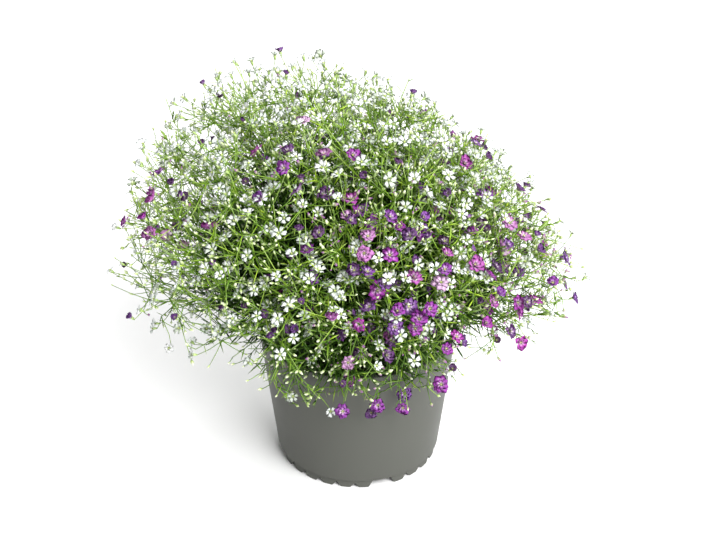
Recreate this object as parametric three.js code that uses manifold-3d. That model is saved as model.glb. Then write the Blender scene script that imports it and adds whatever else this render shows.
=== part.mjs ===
// Potted gypsophila: a round cushion of thin arching stems with small white and purple
// flowers, grown from seven crowns in a plain grower's pot.
// Millimetres, +Z up. The origin is on the pot's axis, level with the underside of its feet,
// and the front of the plant looks along -Y.

import * as THREE from "three";
import { mergeVertices } from "three/addons/utils/BufferGeometryUtils.js";
import Module from "manifold-3d";

const wasm = await Module();
wasm.setup();

// Driving dimensions

const pot = {
  height: 93,
  rimRadius: 65,
  baseRadius: 55.2,
  baseHeight: 6.2,
  wall: 1.3,
  floorUnder: 5.8,
  floorTop: 7.3,
  sides: 42,
};

const feet = {
  inner: 52,
  outer: 54.1,
  height: 4.8,
  count: 28,
  notch: 2.6,
  gaps: 4,
  firstGap: -73,
};

const drain = {
  radius: 4.5,
  ring: 45,
};

const soil = {
  top: 84,
  bump: 1.3,
  waveX: 0.31,
  waveY: 0.27,
  waveSlant: 0.11,
  bumpyRadius: 48,
  middleRadius: 22,
  sides: 21,
  gap: 0.3,
  holeRadius: 4.2,
  holeDepth: 13,
};

const bush = {
  centreHeight: 96,
  outerCrowns: 6,
  crownRing: 30,
  crownRadius: 3.2,
  middleCrownAbove: 52,
  sprays: 48,
  lowestSpray: 2,
  sprayStray: 0.03,
  tips: 296,
  lowestTip: -2,
  tipStray: 0.035,
  frontLift: 16,
  seed: 7,
};

// The few tips that hang over the front of the rim
const fringe = {
  share: 0.5,
  upTo: 27,
  front: 0.76,
  fall: 31,
};

// How far the flowers reach from the bush's centre: this far above, less by the droop low down,
// less at front, back and upper right, and more at the full upper left, the right flank and the top.
const reach = {
  above: 148,
  droop: 60,
  droopFrom: -25,
  droopTo: 20,
  frontBack: 0.2,
  upperLeft: 0.2,
  upperRight: 0.08,
  rightFlank: 0.09,
  top: 0.06,
};

const stem = {
  radius: 1,
  share: 0.66,
  arch: 18,
  archUpTo: 40,
  bend: 0.5,
  lift: 0.22,
  sunk: 1.5,
  clearance: 2.4,
};

const leaf = {
  nodes: [0.4, 0.66, 0.91],
  length: 19,
  width: 2.4,
  rise: 40,
  shares: [1, 0.85, 0.7, 0.55],
};

const innerLeaf = {
  elevation: 24,
  distance: 50,
  length: 26,
  width: 15,
  height: 18,
  taper: 0.4,
  splits: 3,
  spike: 1.4,
};

const spray = {
  gap: 0.3,
  hubShare: 0.72,
  hubRadius: 1,
  forkShare: 0.85,
  forkSpread: 0.6,
  forkRadius: 0.8,
  neckRadius: 0.55,
  nearestTip: 0.93,
  tipScatter: 0.08,
};

const flower = {
  share: 0.6,
  radius: 6.6,
  depth: 3.4,
  calyxRadius: 1.2,
  tilt: 0.7,
};

const bud = {
  length: 6,
  radius: 1.5,
};

// What each draw is used for, so that no two uses of one index give the same value
const uses = {
  sprayTurn: 1,
  sprayShift: 2,
  tipTurn: 3,
  tipShift: 4,
  hang: 7,
  spike: 9,
  isFlower: 10,
  tipReach: 11,
  tiltX: 12,
  tiltY: 13,
  size: 14,
  colour: 20,
  leafLength: 30,
  leafRise: 40,
};

const materials = {
  pot: { color: 0x84857d, roughness: 0.45, metalness: 0 },
  soil: { color: 0x2e241b, roughness: 1, metalness: 0 },
  green: { color: 0x7d9a3e, roughness: 0.65, metalness: 0 },
  white: { color: 0xf2f3ea, roughness: 0.6, metalness: 0 },
  purple: { color: 0xa04a9c, roughness: 0.6, metalness: 0 },
};

const plant = new THREE.Group();

function addPart(name, geometry, material) {
  const mesh = new THREE.Mesh(geometry, new THREE.MeshStandardMaterial(materials[material]));
  mesh.name = name;
  plant.add(mesh);
}

// Small helpers

const degree = Math.PI / 180;
const up = new THREE.Vector3(0, 0, 1);
const centre = new THREE.Vector3(0, 0, bush.centreHeight);

// A repeatable draw between 0 and 1 for one thing's index and one use of it
function draw(index, use) {
  const value = Math.sin((index + bush.seed) * 12.9898 + use * 78.233) * 43758.5453;
  return value - Math.floor(value);
}

// 0 below the first value, 1 above the second, and a smooth rise between them
function smoothRise(from, to, value) {
  const t = Math.min(1, Math.max(0, (value - from) / (to - from)));
  return t * t * (3 - 2 * t);
}

function directionOf(azimuth, elevation) {
  return new THREE.Vector3(
    Math.cos(elevation * degree) * Math.cos(azimuth * degree),
    Math.cos(elevation * degree) * Math.sin(azimuth * degree),
    Math.sin(elevation * degree),
  );
}

function elevationOf(direction) {
  return Math.asin(direction.z) / degree;
}

function meanOf(points) {
  const sum = new THREE.Vector3();
  points.forEach((point) => sum.add(point));
  return sum.divideScalar(points.length);
}

// Closed solids and their joining

function solidFrom(geometry) {
  const bare = geometry.clone();
  bare.deleteAttribute("normal");
  bare.deleteAttribute("uv");
  const merged = mergeVertices(bare, 1e-5);
  const index = merged.index.array;
  const kept = [];
  for (let i = 0; i < index.length; i += 3) {
    const [a, b, c] = index.slice(i, i + 3);
    if (a !== b && b !== c && c !== a) {
      kept.push(a, b, c);
    }
  }
  return new wasm.Manifold(
    new wasm.Mesh({
      numProp: 3,
      vertProperties: new Float32Array(merged.attributes.position.array),
      triVerts: new Uint32Array(kept),
    }),
  );
}

function geometryFrom(solid) {
  const mesh = solid.getMesh();
  const geometry = new THREE.BufferGeometry();
  geometry.setAttribute("position", new THREE.BufferAttribute(mesh.vertProperties, 3));
  geometry.setIndex(new THREE.BufferAttribute(mesh.triVerts, 1));
  return geometry;
}

// A profile of radii and heights, turned about the upright axis
function turned(profile, sides) {
  const points = profile.map(([radius, height]) => new THREE.Vector2(radius, height));
  return new THREE.LatheGeometry(points, sides).rotateX(Math.PI / 2);
}

// The points round an axis at the given angles, radii and heights along it. Angle 0 lies on the
// side that the reference points to.
function ringPoints(middle, axis, reference, corners) {
  const across = reference.clone().addScaledVector(axis, -reference.dot(axis)).normalize();
  const beside = axis.clone().cross(across);
  return corners.map(({ angle, radius, rise }) =>
    middle
      .clone()
      .addScaledVector(across, Math.cos(angle * degree) * radius)
      .addScaledVector(beside, Math.sin(angle * degree) * radius)
      .addScaledVector(axis, rise),
  );
}

function evenCorners(count, radius, rise = 0, turn = 0) {
  return Array.from({ length: count }, (_, i) => ({ angle: turn + (360 * i) / count, radius, rise }));
}

// A closed skin that grows outward from open faces. A face is a list of corner numbers that run
// anticlockwise as seen from outside, and a ring grown from it keeps the same order.
class Skin {
  points = [];
  faces = [];

  addPoints(points) {
    const first = this.points.length;
    this.points.push(...points);
    return points.map((_, i) => first + i);
  }

  middleOf(face) {
    return meanOf(face.map((corner) => this.points[corner]));
  }

  // Starts with a ring that is closed at its underside.
  root(middle, axis, reference, corners) {
    const ring = this.addPoints(ringPoints(middle, axis, reference, corners));
    this.close([...ring].reverse());
    return ring;
  }

  // Grows a ring round the given place from an open face, lined up with the face's first corner.
  grow(base, middle, axis, corners) {
    const reference = this.points[base[0]].clone().sub(this.middleOf(base));
    const ring = this.addPoints(ringPoints(middle, axis, reference, corners));
    let i = 0;
    let j = 0;
    while (i < base.length || j < ring.length) {
      const low = base[i % base.length];
      const high = ring[j % ring.length];
      const isLowNext = (i + 0.5) / base.length <= (j + 0.5) / ring.length;
      if (i < base.length && (j === ring.length || isLowNext)) {
        i++;
        this.faces.push(low, base[i % base.length], high);
      } else {
        j++;
        this.faces.push(low, ring[j % ring.length], high);
      }
    }
    return ring;
  }

  // Raises a point over an open face and gives back the faces round it, still open.
  split(base, tip) {
    const [top] = this.addPoints([tip]);
    return base.map((corner, i) => [corner, base[(i + 1) % base.length], top]);
  }

  // Closes an open face with a fan to one point.
  point(base, tip) {
    this.split(base, tip).forEach((face) => this.close(face));
  }

  close(base) {
    for (let i = 1; i + 1 < base.length; i++) {
      this.faces.push(base[0], base[i], base[i + 1]);
    }
  }

  geometry() {
    const geometry = new THREE.BufferGeometry().setFromPoints(this.points);
    geometry.setIndex(this.faces);
    return geometry;
  }
}

// The pot: a tapered cup on a ring of small feet. A foot is left out at each of four wide gaps,
// and a drain hole opens behind each gap.

function wallRadiusAt(height) {
  const slope = (pot.rimRadius - pot.baseRadius) / (pot.height - pot.baseHeight);
  return pot.baseRadius + slope * (height - pot.baseHeight);
}

function footCut(width, azimuth) {
  const cut = new THREE.BoxGeometry(2 * (feet.outer - feet.inner), width, 2 * feet.height);
  cut.translate((feet.outer + feet.inner) / 2, 0, 0);
  return solidFrom(cut.rotateZ(azimuth * degree));
}

function drainCut(azimuth) {
  const cut = new THREE.CylinderGeometry(drain.radius, drain.radius, 2 * pot.floorTop, 8);
  cut.rotateX(Math.PI / 2).translate(drain.ring, 0, pot.floorTop);
  return solidFrom(cut.rotateZ(azimuth * degree));
}

function makePot() {
  const cup = turned([
    [0, pot.floorUnder],
    [feet.inner, pot.floorUnder],
    [feet.inner, 0],
    [feet.outer, 0],
    [feet.outer, pot.baseHeight - 1],
    [pot.baseRadius, pot.baseHeight],
    [pot.rimRadius, pot.height],
    [pot.rimRadius - pot.wall, pot.height],
    [wallRadiusAt(pot.floorTop) - pot.wall, pot.floorTop],
    [0, pot.floorTop],
  ], pot.sides);
  let body = solidFrom(cup);
  const footTurn = 360 / feet.count;
  for (let foot = 0; foot < feet.count; foot++) {
    body = body.subtract(footCut(feet.notch, feet.firstGap + (foot + 0.5) * footTurn));
  }
  for (let gap = 0; gap < feet.gaps; gap++) {
    const azimuth = feet.firstGap + (360 * gap) / feet.gaps;
    body = body.subtract(footCut((2 * Math.PI * feet.outer) / feet.count, azimuth));
    body = body.subtract(drainCut(azimuth));
  }
  return geometryFrom(body);
}

addPart("pot", makePot(), "pot");

// The crowns: one in the middle and six round it. Each has its place in the soil and the way
// that it leans.

const crowns = [
  {
    name: "middle",
    azimuth: 0,
    place: new THREE.Vector3(0, 0, soil.top),
    outward: up,
    across: directionOf(0, 0),
  },
];
for (let i = 0; i < bush.outerCrowns; i++) {
  const azimuth = -90 + (360 * i) / bush.outerCrowns;
  crowns.push({
    name: `side_${i + 1}`,
    azimuth,
    place: directionOf(azimuth, 0).multiplyScalar(bush.crownRing).setZ(soil.top),
    outward: directionOf(azimuth, innerLeaf.elevation),
    across: directionOf(azimuth + 90, 0),
  });
}
const [middleCrown, ...outerCrowns] = crowns;

// The soil: a lump that fills the pot, bumpy on top, with a plain hole for each crown

function makeSoil() {
  const bottom = pot.floorTop + soil.gap;
  const lump = turned([
    [0, bottom],
    [wallRadiusAt(bottom) - pot.wall - soil.gap, bottom],
    [wallRadiusAt(soil.top) - pot.wall - soil.gap, soil.top],
    [soil.bumpyRadius, soil.top],
    [soil.middleRadius, soil.top],
    [0, soil.top],
  ], soil.sides);
  const position = lump.attributes.position;
  for (let i = 0; i < position.count; i++) {
    const [x, y, z] = [position.getX(i), position.getY(i), position.getZ(i)];
    if (z > bottom + 1 && Math.hypot(x, y) < soil.bumpyRadius + 1) {
      const wave = Math.sin(x * soil.waveX + 1) * Math.cos(y * soil.waveY + x * soil.waveSlant);
      position.setZ(i, soil.top + soil.bump * wave);
    }
  }
  let body = solidFrom(lump);
  for (const { place } of crowns) {
    const hole = new THREE.CylinderGeometry(soil.holeRadius, soil.holeRadius, 2 * soil.holeDepth, 8);
    hole.rotateX(Math.PI / 2).translate(place.x, place.y, soil.top);
    body = body.subtract(solidFrom(hole));
  }
  return geometryFrom(body);
}

addPart("soil", makeSoil(), "soil");

// The bush's shape

const upperLeft = new THREE.Vector3(-0.65, 0.1, 0.75).normalize();
const upperRight = new THREE.Vector3(0.7, 0.1, 0.7).normalize();
const rightFlank = new THREE.Vector3(1, 0, 0.05).normalize();

function reachOf(direction) {
  const low = 1 - smoothRise(reach.droopFrom, reach.droopTo, elevationOf(direction));
  const share = 1
    - reach.frontBack * direction.y ** 2
    + reach.upperLeft * Math.max(0, direction.dot(upperLeft)) ** 4
    - reach.upperRight * Math.max(0, direction.dot(upperRight)) ** 4
    + reach.rightFlank * Math.max(0, direction.dot(rightFlank)) ** 6
    + reach.top * Math.max(0, direction.z) ** 4;
  return (reach.above - reach.droop * low) * share;
}

// A point on the way from the bush's centre out to a flower. Low stems arch over the rim.
function along(direction, share) {
  const arch = stem.arch * (1 - smoothRise(0, stem.archUpTo, elevationOf(direction)));
  return centre
    .clone()
    .addScaledVector(direction, reachOf(direction) * share)
    .addScaledVector(up, arch * (1 - share * share));
}

// Directions spread evenly over the dome by the golden angle, each moved a little by two draws.
// The dome reaches less far down in front, where the pot shows.
function evenDirections(count, lowest, stray, turnUse, shiftUse) {
  const goldenAngle = 180 * (3 - Math.sqrt(5));
  return Array.from({ length: count }, (_, i) => {
    const azimuth = i * goldenAngle;
    const lift = bush.frontLift * smoothRise(0.05, 0.45, -Math.sin(azimuth * degree));
    const bottom = Math.sin((lowest + lift) * degree);
    const elevation = Math.asin(1 - (1 - bottom) * ((i + 0.5) / count)) / degree;
    const direction = directionOf(azimuth, elevation);
    const east = directionOf(azimuth + 90, 0);
    const north = direction.clone().cross(east);
    const turn = 2 * Math.PI * draw(i, turnUse);
    const shift = stray * draw(i, shiftUse);
    return direction
      .addScaledVector(east, shift * Math.cos(turn))
      .addScaledVector(north, shift * Math.sin(turn))
      .normalize();
  });
}

// The inner leaves of a crown lie on the way that it leans. Their size follows the bush's reach
// on that side.
for (const crown of crowns) {
  crown.size = reachOf(crown.outward) / reach.above;
  crown.heart = centre.clone().addScaledVector(crown.outward, innerLeaf.distance * crown.size);
}

// Each spray's axis, and the crown that it grows from: the middle one where the axis is steep,
// and otherwise the outer one that leans most nearly the same way

function nearestOf(items, wayOf, direction) {
  return items.reduce((best, item) =>
    wayOf(item).dot(direction) > wayOf(best).dot(direction) ? item : best);
}

const sprayAxes = evenDirections(
  bush.sprays, bush.lowestSpray, bush.sprayStray, uses.sprayTurn, uses.sprayShift);
const sprays = sprayAxes.map((axis, number) => {
  const isSteep = elevationOf(axis) > bush.middleCrownAbove;
  const crown = isSteep ? middleCrown : nearestOf(outerCrowns, (outer) => outer.outward, axis);
  return { number, axis, crown, tips: [] };
});

// Some of the low tips in front hang down
function hung(direction, index) {
  const isLowInFront = elevationOf(direction) < fringe.upTo && -direction.y > fringe.front;
  if (!isLowInFront || draw(index, uses.hang) > fringe.share) {
    return direction;
  }
  const azimuth = Math.atan2(direction.y, direction.x) / degree;
  return directionOf(azimuth, elevationOf(direction) - fringe.fall);
}

// Each tip, a flower or a bud, belongs to the spray with the nearest axis

const tipDirections = evenDirections(
  bush.tips, bush.lowestTip, bush.tipStray, uses.tipTurn, uses.tipShift).map(hung);
for (const [index, direction] of tipDirections.entries()) {
  nearestOf(sprays, (one) => one.axis, direction).tips.push({
    direction,
    isFlower: draw(index, uses.isFlower) < flower.share,
    place: along(direction, spray.nearestTip + spray.tipScatter * draw(index, uses.tipReach)),
    sway: new THREE.Vector3(draw(index, uses.tiltX) - 0.5, draw(index, uses.tiltY) - 0.5, 0.5),
    size: 0.92 + 0.16 * draw(index, uses.size),
  });
}

// Each spray's hub, and its forks in order round the axis. Each fork bears a pair of tips.

for (const one of sprays) {
  one.east = up.clone().cross(one.axis).normalize();
  const north = one.axis.clone().cross(one.east);
  const rollOf = (direction) => Math.atan2(direction.dot(north), direction.dot(one.east)) / degree;
  one.tips.sort((first, second) => rollOf(first.direction) - rollOf(second.direction));
  one.hub = along(one.axis, spray.hubShare);
  one.forks = [];
  for (let i = 0; i < one.tips.length; i += 2) {
    const pair = one.tips.slice(i, i + 2);
    const middle = meanOf(pair.map((tip) => tip.direction)).normalize();
    const direction = one.axis.clone().lerp(middle, spray.forkSpread).normalize();
    one.forks.push({ pair, place: along(direction, spray.forkShare), roll: rollOf(middle) });
  }
}
const twigLines = sprays.flatMap(({ axis, hub, forks }) => [
  new THREE.Line3(along(axis, stem.share), hub),
  ...forks.map((fork) => new THREE.Line3(hub, fork.place)),
]);

// Whether a point keeps clear of some lines
function isClear(point, lines) {
  const nearest = new THREE.Vector3();
  return lines.every((line) =>
    line.closestPointToPoint(point, true, nearest).distanceTo(point) > stem.clearance);
}

// Whether a point lies well inside its crown's share of the bush and clear of pot and soil
function isInShare(point, crown) {
  const halfTurn = 180 / bush.outerCrowns;
  const isBetweenWalls = crown === middleCrown || [1, -1].every((sign) =>
    point.dot(directionOf(crown.azimuth + sign * (90 - halfTurn), 0)) > stem.clearance / 2);
  const radius = Math.hypot(point.x, point.y);
  const isOverSoil = radius < pot.rimRadius - 7 && point.z > soil.top + 4;
  return isBetweenWalls && (isOverSoil || radius > pot.rimRadius + 4 || point.z > pot.height + 3);
}

// The inner leaves of a crown: a faceted ball, wider towards its outer end. Each facet has its
// corners, its middle, the point that it may be drawn out to and the way that it looks.

function facetsOf(crown) {
  const frame = new THREE.Matrix4()
    .makeBasis(crown.outward, crown.across, crown.outward.clone().cross(crown.across))
    .scale(new THREE.Vector3(innerLeaf.length, innerLeaf.width, innerLeaf.height))
    .multiply(new THREE.Matrix4().makeScale(crown.size, crown.size, crown.size))
    .setPosition(crown.heart);
  crown.toBall = frame.clone().invert();
  const ball = new THREE.OctahedronGeometry(1, innerLeaf.splits).attributes.position;
  const facets = [];
  for (let first = 0; first < ball.count; first += 3) {
    const corners = [0, 1, 2].map((k) => new THREE.Vector3().fromBufferAttribute(ball, first + k));
    const middle = meanOf(corners);
    const length = innerLeaf.spike * (0.8 + 0.4 * draw(first, uses.spike));
    const point = middle.clone().setLength(length);
    for (const place of [...corners, middle, point]) {
      const widening = 1 + innerLeaf.taper * place.x;
      place.multiply(new THREE.Vector3(1, widening, widening)).applyMatrix4(frame);
    }
    const side = new THREE.Triangle(...corners).getNormal(new THREE.Vector3());
    const isPointFree = [0.5, 1].every((t) => {
      const sample = middle.clone().lerp(point, t);
      return isInShare(sample, crown) && isClear(sample, twigLines);
    });
    facets.push({ corners, middle, point, side, isPointFree, hasStem: false });
  }
  return facets;
}

function innerLeaves(facets) {
  const corners = facets.flatMap(({ corners: [a, b, c], point, isPointFree, hasStem }) =>
    isPointFree && !hasStem ? [a, b, point, b, c, point, c, a, point] : [a, b, c]);
  return new THREE.BufferGeometry().setFromPoints(corners);
}

// Each stem leaves the inner leaves by the free facet that looks most nearly towards its end.
function giveStemPaths(crown, facets) {
  const wishes = [];
  for (const one of crown.sprays) {
    const end = along(one.axis, stem.share);
    const aim = end.clone().sub(crown.heart).normalize();
    for (const facet of facets) {
      const fit = facet.middle.clone().sub(crown.heart).normalize().dot(aim);
      wishes.push({ one, end, facet, fit });
    }
  }
  wishes.sort((first, second) => second.fit - first.fit);
  for (const { one, end, facet } of wishes) {
    if (one.path || facet.hasStem) {
      continue;
    }
    const root = facet.middle.clone().addScaledVector(facet.side, -stem.sunk);
    const span = end.distanceTo(root);
    const straight = facet.middle.clone().lerp(end, stem.bend);
    const outward = facet.middle.clone().addScaledVector(facet.side, stem.bend * span);
    const lift = stem.lift * span * (1 - smoothRise(0, stem.archUpTo, elevationOf(one.axis)));
    const bend = straight.lerp(outward, 0.5).addScaledVector(up, lift);
    one.path = new THREE.QuadraticBezierCurve3(root, bend, end);
    facet.hasStem = true;
  }
}

// The bundle of stem feet between the soil and the inner leaves
function stemFoot(crown) {
  const skin = new Skin();
  const corners = evenCorners(5, bush.crownRadius);
  const bottom = crown.place.clone().setZ(soil.top - soil.holeDepth + 1);
  const neck = crown.place.clone().setZ(soil.top + 2);
  const way = crown.heart.clone().sub(crown.place).normalize();
  const foot = skin.root(bottom, up, crown.across, corners);
  const ring = skin.grow(foot, neck, up, corners);
  skin.close(skin.grow(ring, crown.heart, way, evenCorners(5, 2 * bush.crownRadius)));
  return skin.geometry();
}

// The longest of some leaf tips that keeps clear of stems, twigs and other leaves, or null
function freeLeafTip(base, offset, crown, obstacles) {
  for (const share of leaf.shares) {
    const tip = base.clone().addScaledVector(offset, share);
    const isFree = [0.25, 0.5, 0.75, 1].every((t) => {
      const sample = base.clone().lerp(tip, t);
      const isOutsideBall = sample.clone().applyMatrix4(crown.toBall).length() > 1.1 * innerLeaf.spike;
      return isOutsideBall && isInShare(sample, crown) && isClear(sample, obstacles);
    });
    if (isFree) {
      return tip;
    }
  }
  return null;
}

// The straight stretches of a stem between its leaf nodes
function stretchesOf(path) {
  const stops = [0, ...leaf.nodes, 1].map((t) => path.getPoint(t));
  return stops.slice(1).map((stop, i) => new THREE.Line3(stops[i], stop));
}

// A three-cornered stem. At each leaf node two rings lie close together, and up to two of the
// three panels between them are drawn out to the tips of leaves. A short stem has no last node.
function leafyStem({ number, path, crown }, otherStems, leafLines) {
  const skin = new Skin();
  const stemLength = path.getLength();
  const halfLeaf = leaf.width / 2 / stemLength;
  const nodes = leaf.nodes.filter((t) => (1 - t - halfLeaf) * stemLength > spray.gap);
  let ring = skin.root(path.getPoint(0), path.getTangent(0), crown.across, evenCorners(3, stem.radius));
  for (const [order, t] of nodes.entries()) {
    const tangent = path.getTangent(t);
    const turn = order > 0 ? 60 : 0;
    const lower = skin.grow(ring, path.getPoint(t - halfLeaf), tangent, evenCorners(3, stem.radius, 0, turn));
    const raised = lower.map((corner) => skin.points[corner].clone().addScaledVector(tangent, leaf.width));
    const upper = skin.addPoints(raised);
    let leaves = 0;
    for (let panel = 0; panel < 3; panel++) {
      const next = (panel + 1) % 3;
      const base = [lower[panel], lower[next], upper[next], upper[panel]];
      const middle = skin.middleOf(base);
      const node = number * 10 + order;
      const length = leaf.length * (0.8 + 0.4 * draw(node, uses.leafLength + panel));
      const rise = leaf.rise * (0.6 + 0.7 * draw(node, uses.leafRise + panel)) * degree;
      const offset = middle.clone().sub(path.getPoint(t)).setLength(length * Math.cos(rise));
      offset.addScaledVector(tangent, length * Math.sin(rise));
      const obstacles = [...otherStems, ...leafLines, ...twigLines];
      const tip = leaves < 2 ? freeLeafTip(middle, offset, crown, obstacles) : null;
      if (tip) {
        skin.point(base, tip);
        leafLines.push(new THREE.Line3(middle, tip));
        leaves++;
      } else {
        skin.close(base);
      }
    }
    ring = upper;
  }
  skin.close(skin.grow(ring, path.getPoint(1), path.getTangent(1), evenCorners(3, stem.radius)));
  return skin.geometry();
}

// The leafy stems of each crown, joined in one piece

for (const crown of crowns) {
  crown.sprays = sprays.filter((one) => one.crown === crown);
  const facets = facetsOf(crown);
  giveStemPaths(crown, facets);
  let body = solidFrom(stemFoot(crown)).add(solidFrom(innerLeaves(facets)));
  const leafLines = [];
  for (const one of crown.sprays) {
    const others = crown.sprays.filter((other) => other !== one);
    const otherStems = others.flatMap((other) => stretchesOf(other.path));
    body = body.add(solidFrom(leafyStem(one, otherStems, leafLines)));
  }
  addPart(`leafy_stems_${crown.name}`, geometryFrom(body), "green");
}

// A white flower has five wedge petals, each with two corners at its tip. A purple one has
// eight narrower petals in a fuller disc. Radii and rises are shares of the flower's own.

const whiteFlower = { outline: [], heart: -0.35 };
for (let petal = 0; petal < 5; petal++) {
  whiteFlower.outline.push({ angle: 72 * petal - 36, radius: 0.36, rise: -0.25 });
  whiteFlower.outline.push({ angle: 72 * petal - 17, radius: 1, rise: 0 });
  whiteFlower.outline.push({ angle: 72 * petal + 17, radius: 1, rise: 0 });
}
const purpleFlower = { outline: [], heart: 0.1 };
for (let petal = 0; petal < 8; petal++) {
  purpleFlower.outline.push({ angle: 45 * petal - 22.5, radius: 0.72, rise: -0.05 });
  purpleFlower.outline.push({ angle: 45 * petal, radius: 1, rise: 0 });
}

function growFlower(skin, base, tip, kind) {
  const facing = tip.direction.clone().addScaledVector(tip.sway, flower.tilt).normalize();
  const outline = kind.outline.map(({ angle, radius, rise }) => ({
    angle,
    radius: radius * tip.size * flower.radius,
    rise: rise * flower.depth,
  }));
  const calyx = skin.grow(base, tip.place, facing, evenCorners(3, flower.calyxRadius, -flower.depth));
  const rim = skin.grow(calyx, tip.place, facing, outline);
  skin.point(rim, tip.place.clone().addScaledVector(facing, kind.heart * flower.depth));
}

function growBud(skin, base, tip, from) {
  const way = tip.place.clone().sub(from).normalize();
  const neck = skin.grow(base, tip.place, way, evenCorners(3, spray.neckRadius, -bud.length));
  const belly = skin.grow(neck, tip.place, way, evenCorners(3, bud.radius, -0.45 * bud.length));
  skin.point(belly, tip.place);
}

// From a fork's end, each tip grows from the free face that looks most nearly towards it.
function growPair(skin, bend, fork, way, kind) {
  const faces = skin.split(bend, fork.place.clone().addScaledVector(way, spray.forkRadius));
  for (const tip of fork.pair) {
    const aim = tip.place.clone().sub(fork.place);
    const fitOf = (face) => skin.middleOf(face).sub(fork.place).dot(aim);
    faces.sort((first, second) => fitOf(second) - fitOf(first));
    const face = faces.shift();
    if (tip.isFlower) {
      growFlower(skin, face, tip, kind);
    } else {
      growBud(skin, face, tip, fork.place);
    }
  }
  faces.forEach((face) => skin.close(face));
}

// One spray: its stem parts at the hub into forks, and each fork bears a pair of tips.
function makeSpray({ axis, east, path, hub, forks }, kind) {
  const skin = new Skin();
  const sides = Math.max(3, forks.length);
  const reference = east.clone().applyAxisAngle(axis, (forks[0].roll - 180 / sides) * degree);
  const tangent = path.getTangent(1);
  const foot = path.getPoint(1).addScaledVector(tangent, spray.gap);
  const rise = along(axis, spray.forkShare).sub(hub).normalize();
  const start = skin.root(foot, tangent, reference, evenCorners(sides, stem.radius));
  const collar = skin.grow(start, hub, rise, evenCorners(sides, spray.hubRadius));
  const openings = skin.split(collar, hub.clone().addScaledVector(rise, spray.hubRadius));
  for (const [i, opening] of openings.entries()) {
    if (i < forks.length) {
      const way = forks[i].place.clone().sub(hub).normalize();
      const bend = skin.grow(opening, forks[i].place, way, evenCorners(3, spray.forkRadius));
      growPair(skin, bend, forks[i], way, kind);
    } else {
      skin.close(opening);
    }
  }
  return skin.geometry();
}

// The sprays. The purple ones gather in the middle of the front and on the right.

const purpleSide = new THREE.Vector3(0.75, -0.62, 0.2).normalize();
const counts = { white: 0, purple: 0 };
for (const one of sprays) {
  const purpleShare = 0.1 + 0.5 * smoothRise(0.1, 0.6, one.axis.dot(purpleSide));
  const colour = draw(one.number, uses.colour) < purpleShare ? "purple" : "white";
  counts[colour]++;
  const geometry = makeSpray(one, colour === "purple" ? purpleFlower : whiteFlower);
  addPart(`spray_${colour}_${counts[colour]}`, geometry, colour);
}

export default plant;
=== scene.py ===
# Potted gypsophila: the fine pieces and the finish of every solid of the part.
# Shapes are worked out in millimetres in the part's own frame, and go into the meshes in metres.

import math

import bpy
import numpy as np
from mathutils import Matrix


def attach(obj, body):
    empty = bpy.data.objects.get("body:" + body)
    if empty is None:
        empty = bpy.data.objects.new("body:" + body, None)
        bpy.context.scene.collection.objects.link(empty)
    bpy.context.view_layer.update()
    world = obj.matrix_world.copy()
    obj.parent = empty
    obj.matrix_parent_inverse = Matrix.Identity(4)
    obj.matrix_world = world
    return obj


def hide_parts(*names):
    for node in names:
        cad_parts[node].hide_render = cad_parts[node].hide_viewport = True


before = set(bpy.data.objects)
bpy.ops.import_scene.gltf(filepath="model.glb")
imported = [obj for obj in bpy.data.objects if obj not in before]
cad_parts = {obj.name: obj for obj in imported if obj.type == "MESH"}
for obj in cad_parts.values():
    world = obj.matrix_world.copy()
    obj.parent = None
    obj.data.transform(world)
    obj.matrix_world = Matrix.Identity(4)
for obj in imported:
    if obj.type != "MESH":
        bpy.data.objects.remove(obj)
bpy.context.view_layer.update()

millimetre = 0.001
up = np.array([0.0, 0.0, 1.0])
front = -90  # azimuth of the side that faces the viewer


# Arrays of vectors: their last axis holds x, y and z

def unit(vectors):
    # each vector over its own length
    shortest = 1e-9
    return vectors / np.maximum(np.linalg.norm(vectors, axis=-1, keepdims=True), shortest)


def dot(first, second):
    # the sum of the products of x, y and z
    return np.sum(first * second, axis=-1, keepdims=True)


def directionOf(azimuth, elevation):
    # (cos elevation cos azimuth, cos elevation sin azimuth, sin elevation), both in degrees
    azimuth, elevation = np.broadcast_arrays(np.radians(azimuth), np.radians(elevation))
    level = np.cos(elevation)
    return np.stack([level * np.cos(azimuth), level * np.sin(azimuth), np.sin(elevation)], axis=-1)


def elevationOf(directions):
    # degrees above level: the arcsine of z
    return np.degrees(np.arcsin(np.clip(directions[..., 2:], -1, 1)))


def acrossOf(ways, turns):
    # a unit vector square to each way: east cos turn + north sin turn, in radians, where east is
    # square to the way and to a helper that the way isn't near to
    nearlyUpright = 0.9
    helper = np.where(np.abs(ways[..., 2:]) > nearlyUpright, np.array([1.0, 0, 0]), up)
    east = unit(np.cross(helper, ways))
    north = np.cross(ways, east)
    return east * np.cos(turns)[..., None] + north * np.sin(turns)[..., None]


# Shares and limits

def smoothRise(start, stop, value):
    # 0 below start, 1 above stop, and 3t^2 - 2t^3 of the way between them
    t = np.clip((value - start) / (stop - start), 0, 1)
    return t * t * (3 - 2 * t)


def risingShare(low, start, stop, value):
    # low below start, and a smooth rise from there to 1 at stop
    return low + (1 - low) * smoothRise(start, stop, value)


def between(limits, share):
    # the first limit at share 0, the second at share 1, and a straight line between them
    return limits[0] + (limits[1] - limits[0]) * share


# The plan of the plant, which repeats the solids' own: crowns, sprays and tips

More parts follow.
